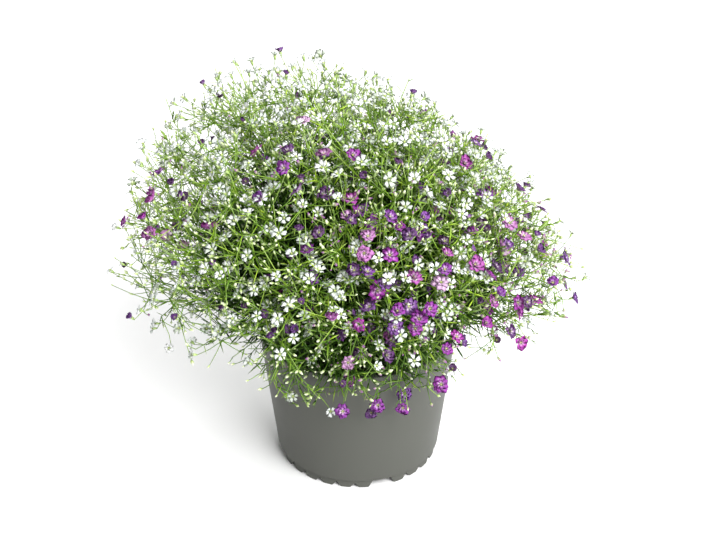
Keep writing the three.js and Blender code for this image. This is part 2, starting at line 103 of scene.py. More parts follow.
# angles are in degrees, and a share is of the bush's reach or of a number of sprays or tips
bush = {
    "centreHeight": 96,
    "outerCrowns": 6,
    "crownRing": 30,
    "outerCrownElevation": 24,
    "middleCrownAbove": 52,
    "sprays": 48,
    "lowestSpray": 2,
    "sprayStray": 0.03,
    "purpleShares": (0.1, 0.6),
    "purpleBetween": (0.1, 0.6),  # how squarely a spray faces the purple side
    "tips": 296,
    "lowestTip": -2,
    "tipStray": 0.035,
    "tipShares": (0.93, 1.01),
    "frontLift": 16,
    "frontLiftBetween": (0.05, 0.45),
    "stemShare": 0.66,
    "hubShare": 0.72,
    "forkShare": 0.85,
    "forkSpread": 0.6,
    "tipsPerFork": 2,
    "flowerShare": 0.6,
    "seed": 7,
}

reach = {
    "above": 148,
    "droop": 60,
    "droopFrom": -25,
    "droopTo": 20,
    "arch": 18,
    "archUpTo": 40,
    "frontBack": 0.2,
    "upperLeft": 0.2,
    "upperRight": 0.08,
    "rightFlank": 0.09,
    "top": 0.06,
    "broad": 4,  # powers of the cosine, where a higher one reaches less far round
    "narrow": 6,
}

fringe = {
    "share": 0.5,
    "upTo": 27,
    "front": 0.76,
    "fall": 31,
}

# each choice takes a series of draws of its own
drawSeries = {
    "sprayTurn": 1,
    "sprayShift": 2,
    "tipTurn": 3,
    "tipShift": 4,
    "shootTurn": 5,
    "shootShift": 6,
    "tipHangs": 7,
    "footNotch": 8,
    "tipIsFlower": 10,
    "tipShare": 11,
    "tipSwayX": 12,
    "tipSwayY": 13,
    "sprayIsPurple": 20,
}
drawFactors = {
    "index": 12.9898,
    "series": 78.233,
    "sine": 43758.5453,
}

soilTop = 84
centre = np.array([0.0, 0.0, bush["centreHeight"]])
upperLeft = unit(np.array([-0.65, 0.1, 0.75]))
upperRight = unit(np.array([0.7, 0.1, 0.7]))
rightFlank = unit(np.array([1.0, 0, 0.05]))
purpleSide = unit(np.array([0.75, -0.62, 0.2]))
whiteSide = unit(np.array([0.0, 0.5, 0.85]))


def draw(index, use):
    # the fractional part of a large sine, the same for the same index and use
    angle = (np.asarray(index) + bush["seed"]) * drawFactors["index"]
    value = np.sin(angle + drawSeries[use] * drawFactors["series"]) * drawFactors["sine"]
    return value - np.floor(value)


def reachOf(directions):
    # full reach above, less by the droop low down, less at front and back, and more or less
    # towards four sides by a power of the cosine of the angle to them
    low = 1 - smoothRise(reach["droopFrom"], reach["droopTo"], elevationOf(directions))
    share = (
        1
        - reach["frontBack"] * directions[..., 1:2] ** 2
        + reach["upperLeft"] * np.maximum(0, dot(directions, upperLeft)) ** reach["broad"]
        - reach["upperRight"] * np.maximum(0, dot(directions, upperRight)) ** reach["broad"]
        + reach["rightFlank"] * np.maximum(0, dot(directions, rightFlank)) ** reach["narrow"]
        + reach["top"] * np.maximum(0, directions[..., 2:]) ** reach["broad"]
    )
    return (reach["above"] - reach["droop"] * low) * share


def along(directions, share):
    # centre + direction * reach * share, with an arch of (1 - share^2) on the low ones
    share = np.asarray(share, float)[..., None]
    arch = reach["arch"] * (1 - smoothRise(0, reach["archUpTo"], elevationOf(directions)))
    return centre + directions * reachOf(directions) * share + up * arch * (1 - share * share)


def shareOf(points):
    # how far out a point lies, as a share of the bush's reach on its side
    return np.linalg.norm(points - centre, axis=-1) / reachOf(unit(points - centre))[..., 0]


def evenDirections(count, lowest, stray, kind):
    # azimuth = i * golden angle, sine of elevation in even steps down to the lowest, which is
    # lifted in front, and a small drawn shift
    i = np.arange(count)
    goldenAngle = 180 * (3 - math.sqrt(5))
    azimuth = i * goldenAngle
    lift = bush["frontLift"] * smoothRise(*bush["frontLiftBetween"], -np.sin(np.radians(azimuth)))
    bottom = np.sin(np.radians(lowest + lift))
    elevation = np.degrees(np.arcsin(1 - (1 - bottom) * (i + 0.5) / count))
    directions = directionOf(azimuth, elevation)
    east = directionOf(azimuth + 90, 0)
    north = np.cross(directions, east)
    turn = 2 * np.pi * draw(i, kind + "Turn")[:, None]
    shift = stray * draw(i, kind + "Shift")[:, None]
    return unit(directions + east * shift * np.cos(turn) + north * shift * np.sin(turn))


def hung(directions):
    # some of the low ones in front, turned down so that they hang over the rim
    elevation = elevationOf(directions)[:, 0]
    isLowInFront = (elevation < fringe["upTo"]) & (-directions[:, 1] > fringe["front"])
    isHung = isLowInFront & (draw(np.arange(len(directions)), "tipHangs") <= fringe["share"])
    azimuth = np.degrees(np.arctan2(directions[:, 1], directions[:, 0]))
    return np.where(isHung[:, None], directionOf(azimuth, elevation - fringe["fall"]), directions)


crownAzimuths = front + 360 * np.arange(bush["outerCrowns"]) / bush["outerCrowns"]
crownPlaces = np.vstack([[0, 0, 0], directionOf(crownAzimuths, 0) * bush["crownRing"]])
crownPlaces[:, 2] = soilTop
crownOutward = np.vstack([up, directionOf(crownAzimuths, bush["outerCrownElevation"])])
crownNames = ["middle"] + [f"side_{i + 1}" for i in range(bush["outerCrowns"])]

sprayAxes = evenDirections(bush["sprays"], bush["lowestSpray"], bush["sprayStray"], "spray")


def crownOf(directions):
    # the middle crown for steep directions, otherwise the outer one that leans most nearly alike
    outer = 1 + np.argmax(directions @ crownOutward[1:].T, axis=-1)
    return np.where(elevationOf(directions)[..., 0] > bush["middleCrownAbove"], 0, outer)


sprayCrowns = crownOf(sprayAxes)
purpleShares = between(bush["purpleShares"], smoothRise(*bush["purpleBetween"], sprayAxes @ purpleSide))
isPurpleSpray = draw(np.arange(bush["sprays"]), "sprayIsPurple") < purpleShares

tipDirections = hung(evenDirections(bush["tips"], bush["lowestTip"], bush["tipStray"], "tip"))
tipSprays = np.argmax(tipDirections @ sprayAxes.T, axis=1)
tipIndex = np.arange(bush["tips"])
tipIsFlower = draw(tipIndex, "tipIsFlower") < bush["flowerShare"]
tipShares = between(bush["tipShares"], draw(tipIndex, "tipShare"))
# up to a half to each side, and always a half up
tipSwayX = draw(tipIndex, "tipSwayX") - 0.5
tipSwayY = draw(tipIndex, "tipSwayY") - 0.5
tipSway = np.stack([tipSwayX, tipSwayY, 0 * tipIndex + 0.5], axis=-1)

# each spray's tips in order round its axis, a few to a fork
forkDirections = []
forkSprays = []
tipForks = np.zeros(bush["tips"], int)
for spray, axis in enumerate(sprayAxes):
    east = unit(np.cross(up, axis))
    north = np.cross(axis, east)
    members = tipIndex[tipSprays == spray]
    roll = np.arctan2(tipDirections[members] @ north, tipDirections[members] @ east)
    members = members[np.argsort(roll, kind="stable")]
    for first in range(0, len(members), bush["tipsPerFork"]):
        group = members[first:first + bush["tipsPerFork"]]
        middle = unit(tipDirections[group].mean(axis=0))
        tipForks[group] = len(forkDirections)
        forkDirections.append(unit(axis + (middle - axis) * bush["forkSpread"]))
        forkSprays.append(spray)
forkDirections = np.array(forkDirections)
forkSprays = np.array(forkSprays)


# What the plant keeps clear of: the soil and the pot's wall

potWall = {
    "bottomHeight": 6.2,
    "bottomRadius": 55.2,
    "rimHeight": 93,
    "rimRadius": 65,
    "thickness": 1.3,
}

clear = {
    "overSoil": 2.5,
    "overRim": 1.6,
    "risesBetween": (52, 60.5),  # radii
    "outsideRim": 2.5,
    "fall": 14,  # millimetres down for each one out
    "lowest": -1000,  # far below the ground, where the fall ends
    "footRoom": 8,
}

hanging = {
    "gap": 5,
    "flare": 0.12,
    "overRim": 4,
    "outsideRadius": 48,
}


def wallRadius(height):
    # the outside of the pot's wall: a straight line from the bottom radius to the rim's
    run = potWall["rimRadius"] - potWall["bottomRadius"]
    slope = run / (potWall["rimHeight"] - potWall["bottomHeight"])
    return potWall["bottomRadius"] + slope * (np.asarray(height) - potWall["bottomHeight"])


def lowestClear(points):
    # the least height at a point's radius: over the soil, up to the rim, and steeply down outside it
    radius = np.hypot(points[..., 0], points[..., 1])
    overSoil = soilTop + clear["overSoil"]
    overRim = potWall["rimHeight"] + clear["overRim"]
    edge = potWall["rimRadius"] + clear["outsideRim"]
    inside = overSoil + (overRim - overSoil) * smoothRise(*clear["risesBetween"], radius)
    outside = overRim - (radius - edge) * clear["fall"]
    return np.where(radius < edge, inside, np.maximum(outside, clear["lowest"]))


def overTheRim(points):
    # raises what would cut the pot's wall or the soil, apart from the stems' own feet
    radius = np.hypot(points[..., 0], points[..., 1])
    isFoot = radius < bush["crownRing"] + clear["footRoom"]
    height = np.where(isFoot, points[..., 2], np.maximum(points[..., 2], lowestClear(points)))
    return np.concatenate([points[..., :2], height[..., None]], axis=-1)


def outsidePot(points):
    # moves what would lie in the pot's wall or against it outwards: to the rim's radius + gap, and
    # a flare more for each millimetre below the rim
    radius = np.hypot(points[..., 0], points[..., 1])[..., None]
    belowRim = potWall["rimHeight"] - points[..., 2:]
    needed = potWall["rimRadius"] + hanging["gap"] + hanging["flare"] * belowRim
    isLow = points[..., 2:] < potWall["rimHeight"] + hanging["overRim"]
    isNearWall = radius > hanging["outsideRadius"]
    factor = np.where(isLow & isNearWall, np.maximum(1, needed / radius), 1)
    return np.concatenate([points[..., :2] * factor, points[..., 2:]], axis=-1)


# Curves: a cubic from start to end that leaves and arrives along two given ways

def bend(start, startWay, end, endWay):
    # many curves at once, each part an array with a row for each curve
    return {"start": start, "startWay": startWay, "end": end, "endWay": endWay}


def pointsOn(curves, t):
    # (2t^3-3t^2+1) start + (t^3-2t^2+t) startWay + (3t^2-2t^3) end + (t^3-t^2) endWay
    t = np.broadcast_to(t, (len(curves["start"]), np.shape(t)[-1]))[..., None]
    start, startWay, end, endWay = (values[:, None] for values in curves.values())
    points = (
        (2 * t**3 - 3 * t**2 + 1) * start
        + (t**3 - 2 * t**2 + t) * startWay
        + (3 * t**2 - 2 * t**3) * end
        + (t**3 - t**2) * endWay
    )
    return overTheRim(points)


def waysOn(curves, t):
    # from the point a step before to the point a step after, as a unit vector
    step = 0.02
    return unit(pointsOn(curves, np.add(t, step)) - pointsOn(curves, np.subtract(t, step)))


# Every repeated shape is one entry: points (items, corners, 3), its faces, and each item's owner.
# along and side say where a corner lies on its shape, tone is drawn once for each item, and
# outer, which sets the greens' painted shade, goes from 0 deep in the bush to 1 at its outside, and stays a
# little less low down.

entries = []

# painted shade for the greens: darker from the outside share in to the deep one, and darker below the high
# height, down to lowShare at the low height
shade = {
    "deep": 0.35,
    "outside": 0.95,
    "low": 90,  # heights
    "high": 200,
    "lowShare": 0.78,
}


def outerOf(points):
    # rises from the deep share of the reach to the outside one, times a factor for the height; where it is
    # low, the greens carry painted shade
    factor = risingShare(shade["lowShare"], shade["low"], shade["high"], points[..., 2])
    return smoothRise(shade["deep"], shade["outside"], shareOf(points)) * factor


def addItems(points, faces, owners, material, tones, alongs, sides=0.0):
    # keeps one row of values for each item, and one for each of its corners
    items, corners = points.shape[:2]
    entries.append({
        "points": points,
        "faces": faces,
        "owners": np.broadcast_to(owners, items),
        "material": material,
        "tones": np.broadcast_to(tones, items),
        "alongs": np.broadcast_to(alongs, (items, corners)),
        "sides": np.broadcast_to(sides, (items, corners)),
        "outers": outerOf(points),
    })


def ringFaces(rings, corners):
    # the faces of a closed tube: quads between its rings, and a fan of triangles on each end
    ring, corner = np.meshgrid(np.arange(rings - 1), np.arange(corners), indexing="ij")
    beside = (corner + 1) % corners
    quads = np.stack([
        ring * corners + corner,
        ring * corners + beside,
        (ring + 1) * corners + beside,
        (ring + 1) * corners + corner,
    ], axis=-1).reshape(-1, 4)
    fan = np.arange(1, corners - 1)
    bottom = np.stack([0 * fan, fan + 1, fan], axis=-1)
    top = np.stack([0 * fan, fan, fan + 1], axis=-1) + (rings - 1) * corners
    return [quads, np.vstack([bottom, top])]


def addTubes(paths, radii, corners, owners, material, tones=0.5):
    # each path's points carry a ring: point + radius * (side cos a + other side sin a)
    count, rings = paths.shape[:2]
    ways = unit(np.gradient(paths, axis=1))
    chord = unit(paths[:, -1:] - paths[:, :1])
    reference = acrossOf(chord, np.zeros(chord.shape[:-1]))
    first = unit(reference - ways * dot(reference, ways))
    second = np.cross(ways, first)
    angle = 2 * np.pi * np.arange(corners) / corners
    radii = np.broadcast_to(radii, (count, rings))[..., None, None]
    points = (
        paths[:, :, None]
        + first[:, :, None] * np.cos(angle)[:, None] * radii
        + second[:, :, None] * np.sin(angle)[:, None] * radii
    )
    alongs = np.repeat(np.linspace(0, 1, rings), corners)
    points = points.reshape(count, rings * corners, 3)
    addItems(points, ringFaces(rings, corners), owners, material, tones, alongs)


# Stalks of every thickness: radii at the foot and at the end

stalks = {
    "mainStem": {"rings": 13, "corners": 5, "radii": (0.95, 0.6)},
    "shoot": {"rings": 8, "corners": 3, "radii": (0.55, 0.34)},
    "sideTwig": {"rings": 4, "corners": 3, "radii": (0.36, 0.27)},
    "fork": {"rings": 5, "corners": 4, "radii": (0.55, 0.42)},
    "tipTwig": {"rings": 4, "corners": 3, "radii": (0.42, 0.34)},
    "pedicel": {"rings": 3, "corners": 3, "radii": (0.3, 0.24)},
}


def addStalks(curves, kind, owners, tones=0.5):
    # a tube along each curve, evenly thinner from its foot to its end
    form = stalks[kind]
    paths = pointsOn(curves, np.linspace(0, 1, form["rings"]))
    addTubes(paths, np.linspace(*form["radii"], form["rings"]), form["corners"], owners, "stem", tones)


# Narrow leaves, in opposite pairs at the nodes of each kind of stalk

leafShape = {
    "endWidth": 0.45,
    "swell": 0.62,
    "swellFrom": 0.12,
    "swellOver": 0.76,
    "keel": 0.55,
}

leafPairs = {
    "place": (0.1, 0.9),
    "turnSpread": 0.3,
    "lengths": (0.6, 1.2),
    "width": 1.5,
    "widthAtLength": 22,
    "widths": (0.75, 1.2),
    "rise": (5, 68),  # degrees towards the stalk's own way
    "lift": (-0.05, 0.14),
    "curl": (0.05, 0.2),  # mean and spread
    "outermost": 1.02,
}

# firstNode is the share of the stalk below its first leaves, and stations are the shares of a
# leaf's length that carry its three edges
leafRows = {
    "mainStem": {"nodes": 6, "firstNode": 0.18, "longest": 24, "shortest": 15, "stations": (0, 0.35, 0.75)},
    "shoot": {"nodes": 6, "firstNode": 0.08, "longest": 21, "shortest": 8, "stations": (0, 0.35, 0.75)},
    "sideTwig": {"nodes": 2, "firstNode": 0.15, "longest": 11, "shortest": 6, "stations": (0, 0.45)},
    "fork": {"nodes": 1, "firstNode": 0.5, "longest": 12, "shortest": 8, "stations": (0, 0.45)},
    "tipTwig": {"nodes": 1, "firstNode": 0.6, "longest": 8, "shortest": 5, "stations": (0, 0.45)},
    "pedicel": {"nodes": 1, "firstNode": 0.3, "longest": 5, "shortest": 3.5, "stations": (0, 0.45)},
}


def addLeaves(bases, ways, facing, lengths, widths, curls, owners, tones, stations):
    # mid line = base + length * (s way - s^2 curl), with a shallow keel under two edges, and a point.
    # half width = half of width * (end width + swell * sin of a share of half a turn)
    s = np.array(stations)[:, None]
    side = unit(np.cross(ways, facing))
    under = np.cross(side, ways)
    length = lengths[:, None, None]
    middle = bases[:, None] + length * (s * ways[:, None] - s * s * curls[:, None])
    swell = np.sin(np.pi * (leafShape["swellFrom"] + leafShape["swellOver"] * s))
    half = (0.5 * widths)[:, None, None] * (leafShape["endWidth"] + leafShape["swell"] * swell)
    left = middle - side[:, None] * half
    right = middle + side[:, None] * half
    keel = middle + under[:, None] * half * leafShape["keel"]
    tip = bases + lengths[:, None] * (ways - curls)
    rings = np.stack([left, keel, right], axis=2).reshape(len(bases), -1, 3)
    points = np.concatenate([rings, tip[:, None]], axis=1)
    quads, ends = ringFaces(len(stations), 3)
    last = 3 * (len(stations) - 1)
    point = 3 * len(stations)
    closing = np.array([[last, last + 1, point], [last + 1, last + 2, point], [last + 2, last, point]])
    alongs = np.append(np.repeat(stations, 3), 1.0)
    sides = np.append(np.tile([-1.0, 0.0, 1.0], len(stations)), 0.0)
    addItems(points, [quads, np.vstack([ends[:1], closing])], owners, "leaf", tones, alongs, sides)


def addLeafPairs(curves, kind, owners, rng):
    # two opposite leaves at each node, each pair turned a right angle from the one below, and
    # leaves left out that would cut the pot or the soil or stand outside the bush
    row = leafRows[kind]
    nodes = row["nodes"]
    shape = (len(curves["start"]), nodes)
    place = np.arange(nodes) + rng.uniform(*leafPairs["place"], shape)
    t = row["firstNode"] + (1 - row["firstNode"]) * place / nodes
    places = pointsOn(curves, t)
    ways = waysOn(curves, t)
    turn = np.pi / 2 * np.arange(nodes) + rng.uniform(0, np.pi, (len(curves["start"]), 1))
    turn = turn + rng.normal(0, leafPairs["turnSpread"], shape)
    for opposite in (0, np.pi):
        out = acrossOf(ways, turn + opposite)
        rise = np.radians(rng.uniform(*leafPairs["rise"], shape))[..., None]
        leafWays = unit(out * np.cos(rise) + ways * np.sin(rise))
        lengths = between((row["longest"], row["shortest"]), t) * rng.uniform(*leafPairs["lengths"], shape)
        widths = leafPairs["width"] * np.sqrt(lengths / leafPairs["widthAtLength"])
        widths = widths * rng.uniform(*leafPairs["widths"], shape)
        curls = up * rng.uniform(*leafPairs["lift"], shape)[..., None]
        curls = curls - out * rng.normal(*leafPairs["curl"], shape)[..., None]
        tips = places + lengths[..., None] * (leafWays - curls)
        halfWay = 0.5
        middles = places + lengths[..., None] * (leafWays - curls * halfWay) * halfWay
        isFree = (tips[..., 2] > lowestClear(tips)) & (middles[..., 2] > lowestClear(middles))
        isFree &= shareOf(tips) < leafPairs["outermost"]
        owner = np.broadcast_to(np.asarray(owners)[:, None], shape)
        tones = rng.uniform(0, 1, shape)
        values = (places, leafWays, ways, lengths, widths, curls, owner, tones)
        addLeaves(*(value[isFree] for value in values), row["stations"])


# Buds: a small egg, green at its foot and paler to its point

bud = {
    "length": (2.1, 3.6),
    "radius": 1.1,
    "sizes": (0.75, 1.15),
    "corners": 4,
    "profile": (0.42, 1.0, 0.3),
    "profileAt": (0, 0.46, 1),
    "purpleTips": 0.45,
}


def addBuds(places, ways, owners, isPurple, rng):
    # rings along a straight line, whose radii follow the profile
    lengths = rng.uniform(*bud["length"], len(places))
    paths = places[:, None] + ways[:, None] * lengths[:, None, None] * np.array(bud["profileAt"])[:, None]
    sizes = bud["radius"] * (lengths / bud["length"][1])[:, None]
    sizes = sizes * rng.uniform(*bud["sizes"], (len(places), 1))
    tones = rng.uniform(0, 1, len(places))
    hasPurpleTip = isPurple & (rng.uniform(0, 1, len(places)) < bud["purpleTips"])
    for material, chosen in (("whiteBud", ~hasPurpleTip), ("purpleBud", hasPurpleTip)):
        radii = sizes[chosen] * np.array(bud["profile"])
        addTubes(paths[chosen], radii, bud["corners"], owners[chosen], material, tones[chosen])


# Flowers: petals on a bell-shaped calyx, with a small ovary in their middle

flowers = {
    "whiteRadius": 4.9,
    "purpleRadius": 6.1,
    "heartRadius": 0.5,
    "sizes": (0.8, 1.1),
    "opennessDraw": (2.9, 1.2),  # the two shapes of a beta draw: mostly wide open, some half closed
    "youngSize": 0.72,
    "youngOpenness": 0.3,
    "youngTone": 0.3,
    "calyxProfile": (0.3, 0.8, 1.0),
    "calyxLength": 2.8,
    "calyxCorners": 4,
    "ovaryProfile": (0.75, 0.7, 0.2),
    "ovaryHeights": (-0.6, 0.6, 1.2),
    "ovaryCorners": 3,
    "petalLengths": (0.84, 1.1),
    "turnSpread": 0.09,
    "closedSlope": 1.3,  # radians above the flower's plane
    "openingSlope": 0.95,
    "slopeSpread": 0.1,
    "whorlShorter": 0.3,
    "whorlHigher": 0.35,
    "whorlSteeper": 0.3,
}

# lengths along and across a petal are shares of its own length, apart from start and thick
whitePetal = {
    "whorls": (5,),
    "rows": 2,
    "columns": 4,
    "start": 0.5,
    "notch": 0.16,
    "notchWidth": 0.3,
    "round": 0.2,
    "widthAt": (0, 0.5, 1),
    "halfWidths": (0.08, 0.25, 0.36),
    "levelShare": 0.9,
    "curl": 0.3,
    "fold": 0.05,
    "thick": 0.15,
}
purplePetal = {
    "whorls": (8, 6),
    "rows": 2,
    "columns": 2,
    "start": 0.4,
    "notch": 0.0,
    "notchWidth": 0.3,
    "round": 0.3,
    "widthAt": (0, 0.5, 1),
    "halfWidths": (0.12, 0.33, 0.34),
    "levelShare": 0.9,
    "curl": 0.25,
    "fold": 0.08,
    "thick": 0.15,
}


def petalGrid(rows, columns):
    # a grid of corners over the petal and, for its inside corners only, a second one under it
    u, v = np.meshgrid(np.linspace(0, 1, rows + 1), np.linspace(-1, 1, columns + 1), indexing="ij")
    top = np.arange(u.size).reshape(u.shape)
    under = top.copy()
    inside = np.zeros(u.shape, bool)
    inside[1:-1, 1:-1] = True
    under[inside] = u.size + np.arange(inside.sum())
    upper = np.stack([top[:-1, :-1], top[1:, :-1], top[1:, 1:], top[:-1, 1:]], axis=-1)
    lower = np.stack([under[:-1, :-1], under[:-1, 1:], under[1:, 1:], under[1:, :-1]], axis=-1)
    faces = np.vstack([upper.reshape(-1, 4), lower.reshape(-1, 4)])
    depth = np.append(np.zeros(u.size), np.ones(inside.sum()))
    return np.append(u, u[inside]), np.append(v, v[inside]), depth, faces


def addPetals(centres, facing, turns, form, lengths, slopes, owners, material, tones):
    # point = centre + outward (start + length u (1 - round v^2 u - notch) cos of most of the slope)
    # + sideways half-width v + facing length (sin slope u - curl u^2 + fold |v| u), with u from foot
    # to tip and v from edge to edge, and the underside a thickness lower
    u, v, depth, faces = petalGrid(form["rows"], form["columns"])
    count, petals = turns.shape
    outward = acrossOf(np.repeat(facing[:, None], petals, axis=1), turns)
    sideways = np.cross(facing[:, None], outward)
    length = lengths[..., None]
    slope = slopes[..., None]
    notch = form["notch"] * np.exp(-(v / form["notchWidth"]) ** 2) * u
    level = np.cos(slope * form["levelShare"])
    distance = form["start"] + length * u * (1 - form["round"] * v * v * u - notch) * level
    half = length * np.interp(u, form["widthAt"], form["halfWidths"])
    rise = length * (np.sin(slope) * u - form["curl"] * u * u + form["fold"] * np.abs(v) * u)
    rise = rise - form["thick"] * depth
    points = (
        centres[:, None, None]
        + outward[:, :, None] * distance[..., None]
        + sideways[:, :, None] * (half * v)[..., None]
        + facing[:, None, None] * rise[..., None]
    )
    owners = np.repeat(owners, petals)
    tones = np.repeat(tones, petals)
    addItems(points.reshape(count * petals, len(u), 3), [faces], owners, material, tones, u, v)


def addFlowers(places, facing, owners, isPurple, isYoung, tones, rng):
    # petal slope = closed slope - opening slope * openness, more on an inner whorl, and young
    # flowers are smaller, darker and half closed
    sizes = rng.uniform(*flowers["sizes"], len(places)) * np.where(isYoung, flowers["youngSize"], 1)
    openness = rng.beta(*flowers["opennessDraw"], len(places))
    openness = openness * np.where(isYoung, flowers["youngOpenness"], 1)
    tones = tones * np.where(isYoung, flowers["youngTone"], 1)
    stations = np.linspace(0, 1, len(flowers["calyxProfile"]))[:, None]
    calyx = places[:, None] - facing[:, None] * flowers["calyxLength"] * (1 - stations)
    addTubes(calyx, np.array(flowers["calyxProfile"]), flowers["calyxCorners"], owners, "calyx", tones)
    ovary = places[:, None] + facing[:, None] * np.array(flowers["ovaryHeights"])[:, None]
    addTubes(ovary, np.array(flowers["ovaryProfile"]), flowers["ovaryCorners"], owners, "ovary", tones)
    for material, chosen, form, radius in (
        ("whitePetal", ~isPurple, whitePetal, flowers["whiteRadius"]),
        ("purplePetal", isPurple, purplePetal, flowers["purpleRadius"]),
    ):
        slope = flowers["closedSlope"] - flowers["openingSlope"] * openness[chosen]
        for whorl, petals in enumerate(form["whorls"]):
            start = rng.uniform(0, 2 * np.pi, (int(chosen.sum()), 1))
            turns = 2 * np.pi * np.arange(petals) / petals + start
            turns = turns + rng.normal(0, flowers["turnSpread"], turns.shape)
            shorter = 1 - flowers["whorlShorter"] * whorl
            lengths = (radius - flowers["heartRadius"]) * shorter * sizes[chosen][:, None]
            lengths = lengths * rng.uniform(*flowers["petalLengths"], turns.shape)
            slopes = slope[:, None] + flowers["whorlSteeper"] * whorl
            slopes = slopes + rng.normal(0, flowers["slopeSpread"], turns.shape)
            centres = places[chosen] + facing[chosen] * flowers["whorlHigher"] * whorl
            addPetals(centres, facing[chosen], turns, form, lengths, slopes, owners[chosen], material,
                      tones[chosen])


# Pedicels: hair-thin stalks, each with a bud or a flower at its end

# a pull is the length of a curve's way at one end, as a share of the distance that it spans
pedicel = {
    "flowerDepth": 2.7,
    "budDepth": 3.3,
    "follow": 0.35,
    "budRise": 0.25,
    "leastRise": 0.2,
    "startPull": 0.8,
    "endPull": 0.6,
}

facingShares = {
    "outward": 0.8,
    "up": 0.5,
    "sway": 0.55,
}


def facingOf(directions, rng):
    # outward and up, swayed at random
    sway = rng.normal(0, facingShares["sway"], directions.shape)
    return unit(facingShares["outward"] * directions + facingShares["up"] * up + sway)


def addPedicels(feet, places, facing, isFlower, isPurple, isYoung, owners, rng):
    # bends from the foot to the flower, and arrives along the way that the flower faces
    straightDown = -1
    places = outsidePot(places)
    reachWays = unit(places - feet)
    flowerWays = unit(facing + pedicel["follow"] * reachWays)
    budWays = unit(reachWays + pedicel["budRise"] * up)
    ways = np.where(isFlower[:, None], flowerWays, budWays)
    ways[:, 2] = np.maximum(ways[:, 2], np.where(isFlower, pedicel["leastRise"], straightDown))
    ways = unit(ways)
    depth = np.where(isFlower, pedicel["flowerDepth"], pedicel["budDepth"])[:, None]
    ends = places - ways * depth
    span = np.linalg.norm(ends - feet, axis=-1, keepdims=True)
    startWays = pedicel["startPull"] * span * unit(ends - feet)
    curves = bend(feet, startWays, ends, pedicel["endPull"] * span * ways)
    tones = rng.uniform(0, 1, len(feet))
    addStalks(curves, "pedicel", owners, tones)
    isBud = ~isFlower
    addBuds(ends[isBud], ways[isBud], owners[isBud], isPurple[isBud], rng)
    addFlowers(*(values[isFlower] for values in (places, ways, owners, isPurple, isYoung, tones)), rng)
    return curves


# The leafy stems: one main stem to each spray, leafy shoots that leave it, and side twigs on them

stems = {
    "seed": 3,
    "footRadius": 3.2,
    "sunk": 6,
    "lean": 0.35,
    "endFrom": 0.6,
    "endPull": 0.8,
    "shoots": 850,
    "lowestShoot": -2,
    "lowShoots": 0.3,  # the share of them that is made low down
    "lowBetween": (-5, 25),  # elevations
    "fringeShoots": 140,
    "fringeTurn": 48,  # degrees to each side of the front
    "fringeElevation": (-12, 24),
    "fringeShares": (0.38, 0.86),
    "shootStray": 0.2,
    "shootShares": (0.42, 0.85),  # of the reach
    "furtherAbove": 0.21,
    "furtherBetween": (10, 50),  # elevations
    "shootStarts": (0.1, 0.62),  # shares of the main stem
    "shootLean": 0.6,
    "shootRise": 0.3,
    "shootSway": 0.3,
    "shootEndPull": 0.7,
}

sideTwig = {
    "perCurve": 3,
    "starts": (0.3, 1.0),  # shares of the shoot
    "angles": (25, 60),
    "lengths": (12, 32),
}

sideGrowth = {
    "rise": 0.15,
    "outward": 0.3,
    "outermost": 0.97,
    "shortest": 0.12,
    "leastGrowth": 0.001,
}

rng = np.random.default_rng(stems["seed"])
sprayCount = bush["sprays"]
footTurn = rng.uniform(0, 2 * np.pi, sprayCount)
footSpread = stems["footRadius"] * np.sqrt(rng.uniform(0, 1, sprayCount))
footDepth = np.full(sprayCount, -stems["sunk"])
footShift = np.stack([footSpread * np.cos(footTurn), footSpread * np.sin(footTurn), footDepth], axis=-1)
stemFeet = crownPlaces[sprayCrowns] + footShift
stemEnds = along(sprayAxes, np.full(sprayCount, bush["stemShare"]))
hubs = along(sprayAxes, np.full(sprayCount, bush["hubShare"]))
stemSpan = np.linalg.norm(stemEnds - stemFeet, axis=-1, keepdims=True)
stemEndWays = unit(hubs - along(sprayAxes, np.full(sprayCount, stems["endFrom"])))
mainStems = bend(
    stemFeet,
    stemSpan * unit(up + stems["lean"] * unit(stemEnds - stemFeet)),
    stemEnds,
    stemSpan * stemEndWays * stems["endPull"],
)
addStalks(mainStems, "mainStem", sprayCrowns, rng.uniform(0, 1, sprayCount))
addLeafPairs(mainStems, "mainStem", sprayCrowns, rng)

# shoots all round, fewer low down, and more that fringe the rim in front
shootDirections = evenDirections(stems["shoots"], stems["lowestShoot"], stems["shootStray"], "shoot")
shootElevations = elevationOf(shootDirections)[:, 0]
shootFullness = risingShare(stems["lowShoots"], *stems["lowBetween"], shootElevations)
shootDirections = shootDirections[rng.uniform(0, 1, len(shootDirections)) < shootFullness]
shootReach = rng.uniform(*stems["shootShares"], len(shootDirections))
shootElevations = elevationOf(shootDirections)[:, 0]
shootReach = shootReach + stems["furtherAbove"] * smoothRise(*stems["furtherBetween"], shootElevations)
fringeAzimuths = front + stems["fringeTurn"] * rng.uniform(-1, 1, stems["fringeShoots"])
fringeElevations = rng.uniform(*stems["fringeElevation"], stems["fringeShoots"])
shootDirections = np.vstack([shootDirections, directionOf(fringeAzimuths, fringeElevations)])
shootReach = np.append(shootReach, rng.uniform(*stems["fringeShares"], stems["fringeShoots"]))
shootCount = len(shootDirections)
shootSprays = np.argmax(shootDirections @ sprayAxes.T, axis=1)
shootCrowns = sprayCrowns[shootSprays]
shootStart = rng.uniform(*stems["shootStarts"], (shootCount, 1))
ownStems = {part: values[shootSprays] for part, values in mainStems.items()}
shootFeet = pointsOn(ownStems, shootStart)[:, 0]
shootFeetWays = waysOn(ownStems, shootStart)[:, 0]
shootEnds = along(shootDirections, shootReach)
shootSpan = np.linalg.norm(shootEnds - shootFeet, axis=-1, keepdims=True)
shootSway = rng.normal(0, stems["shootSway"], (shootCount, 3))
shoots = bend(
    shootFeet,
    shootSpan * unit(shootFeetWays + stems["shootLean"] * unit(shootEnds - shootFeet)),
    shootEnds,
    shootSpan * unit(shootDirections + stems["shootRise"] * up + shootSway) * stems["shootEndPull"],
)
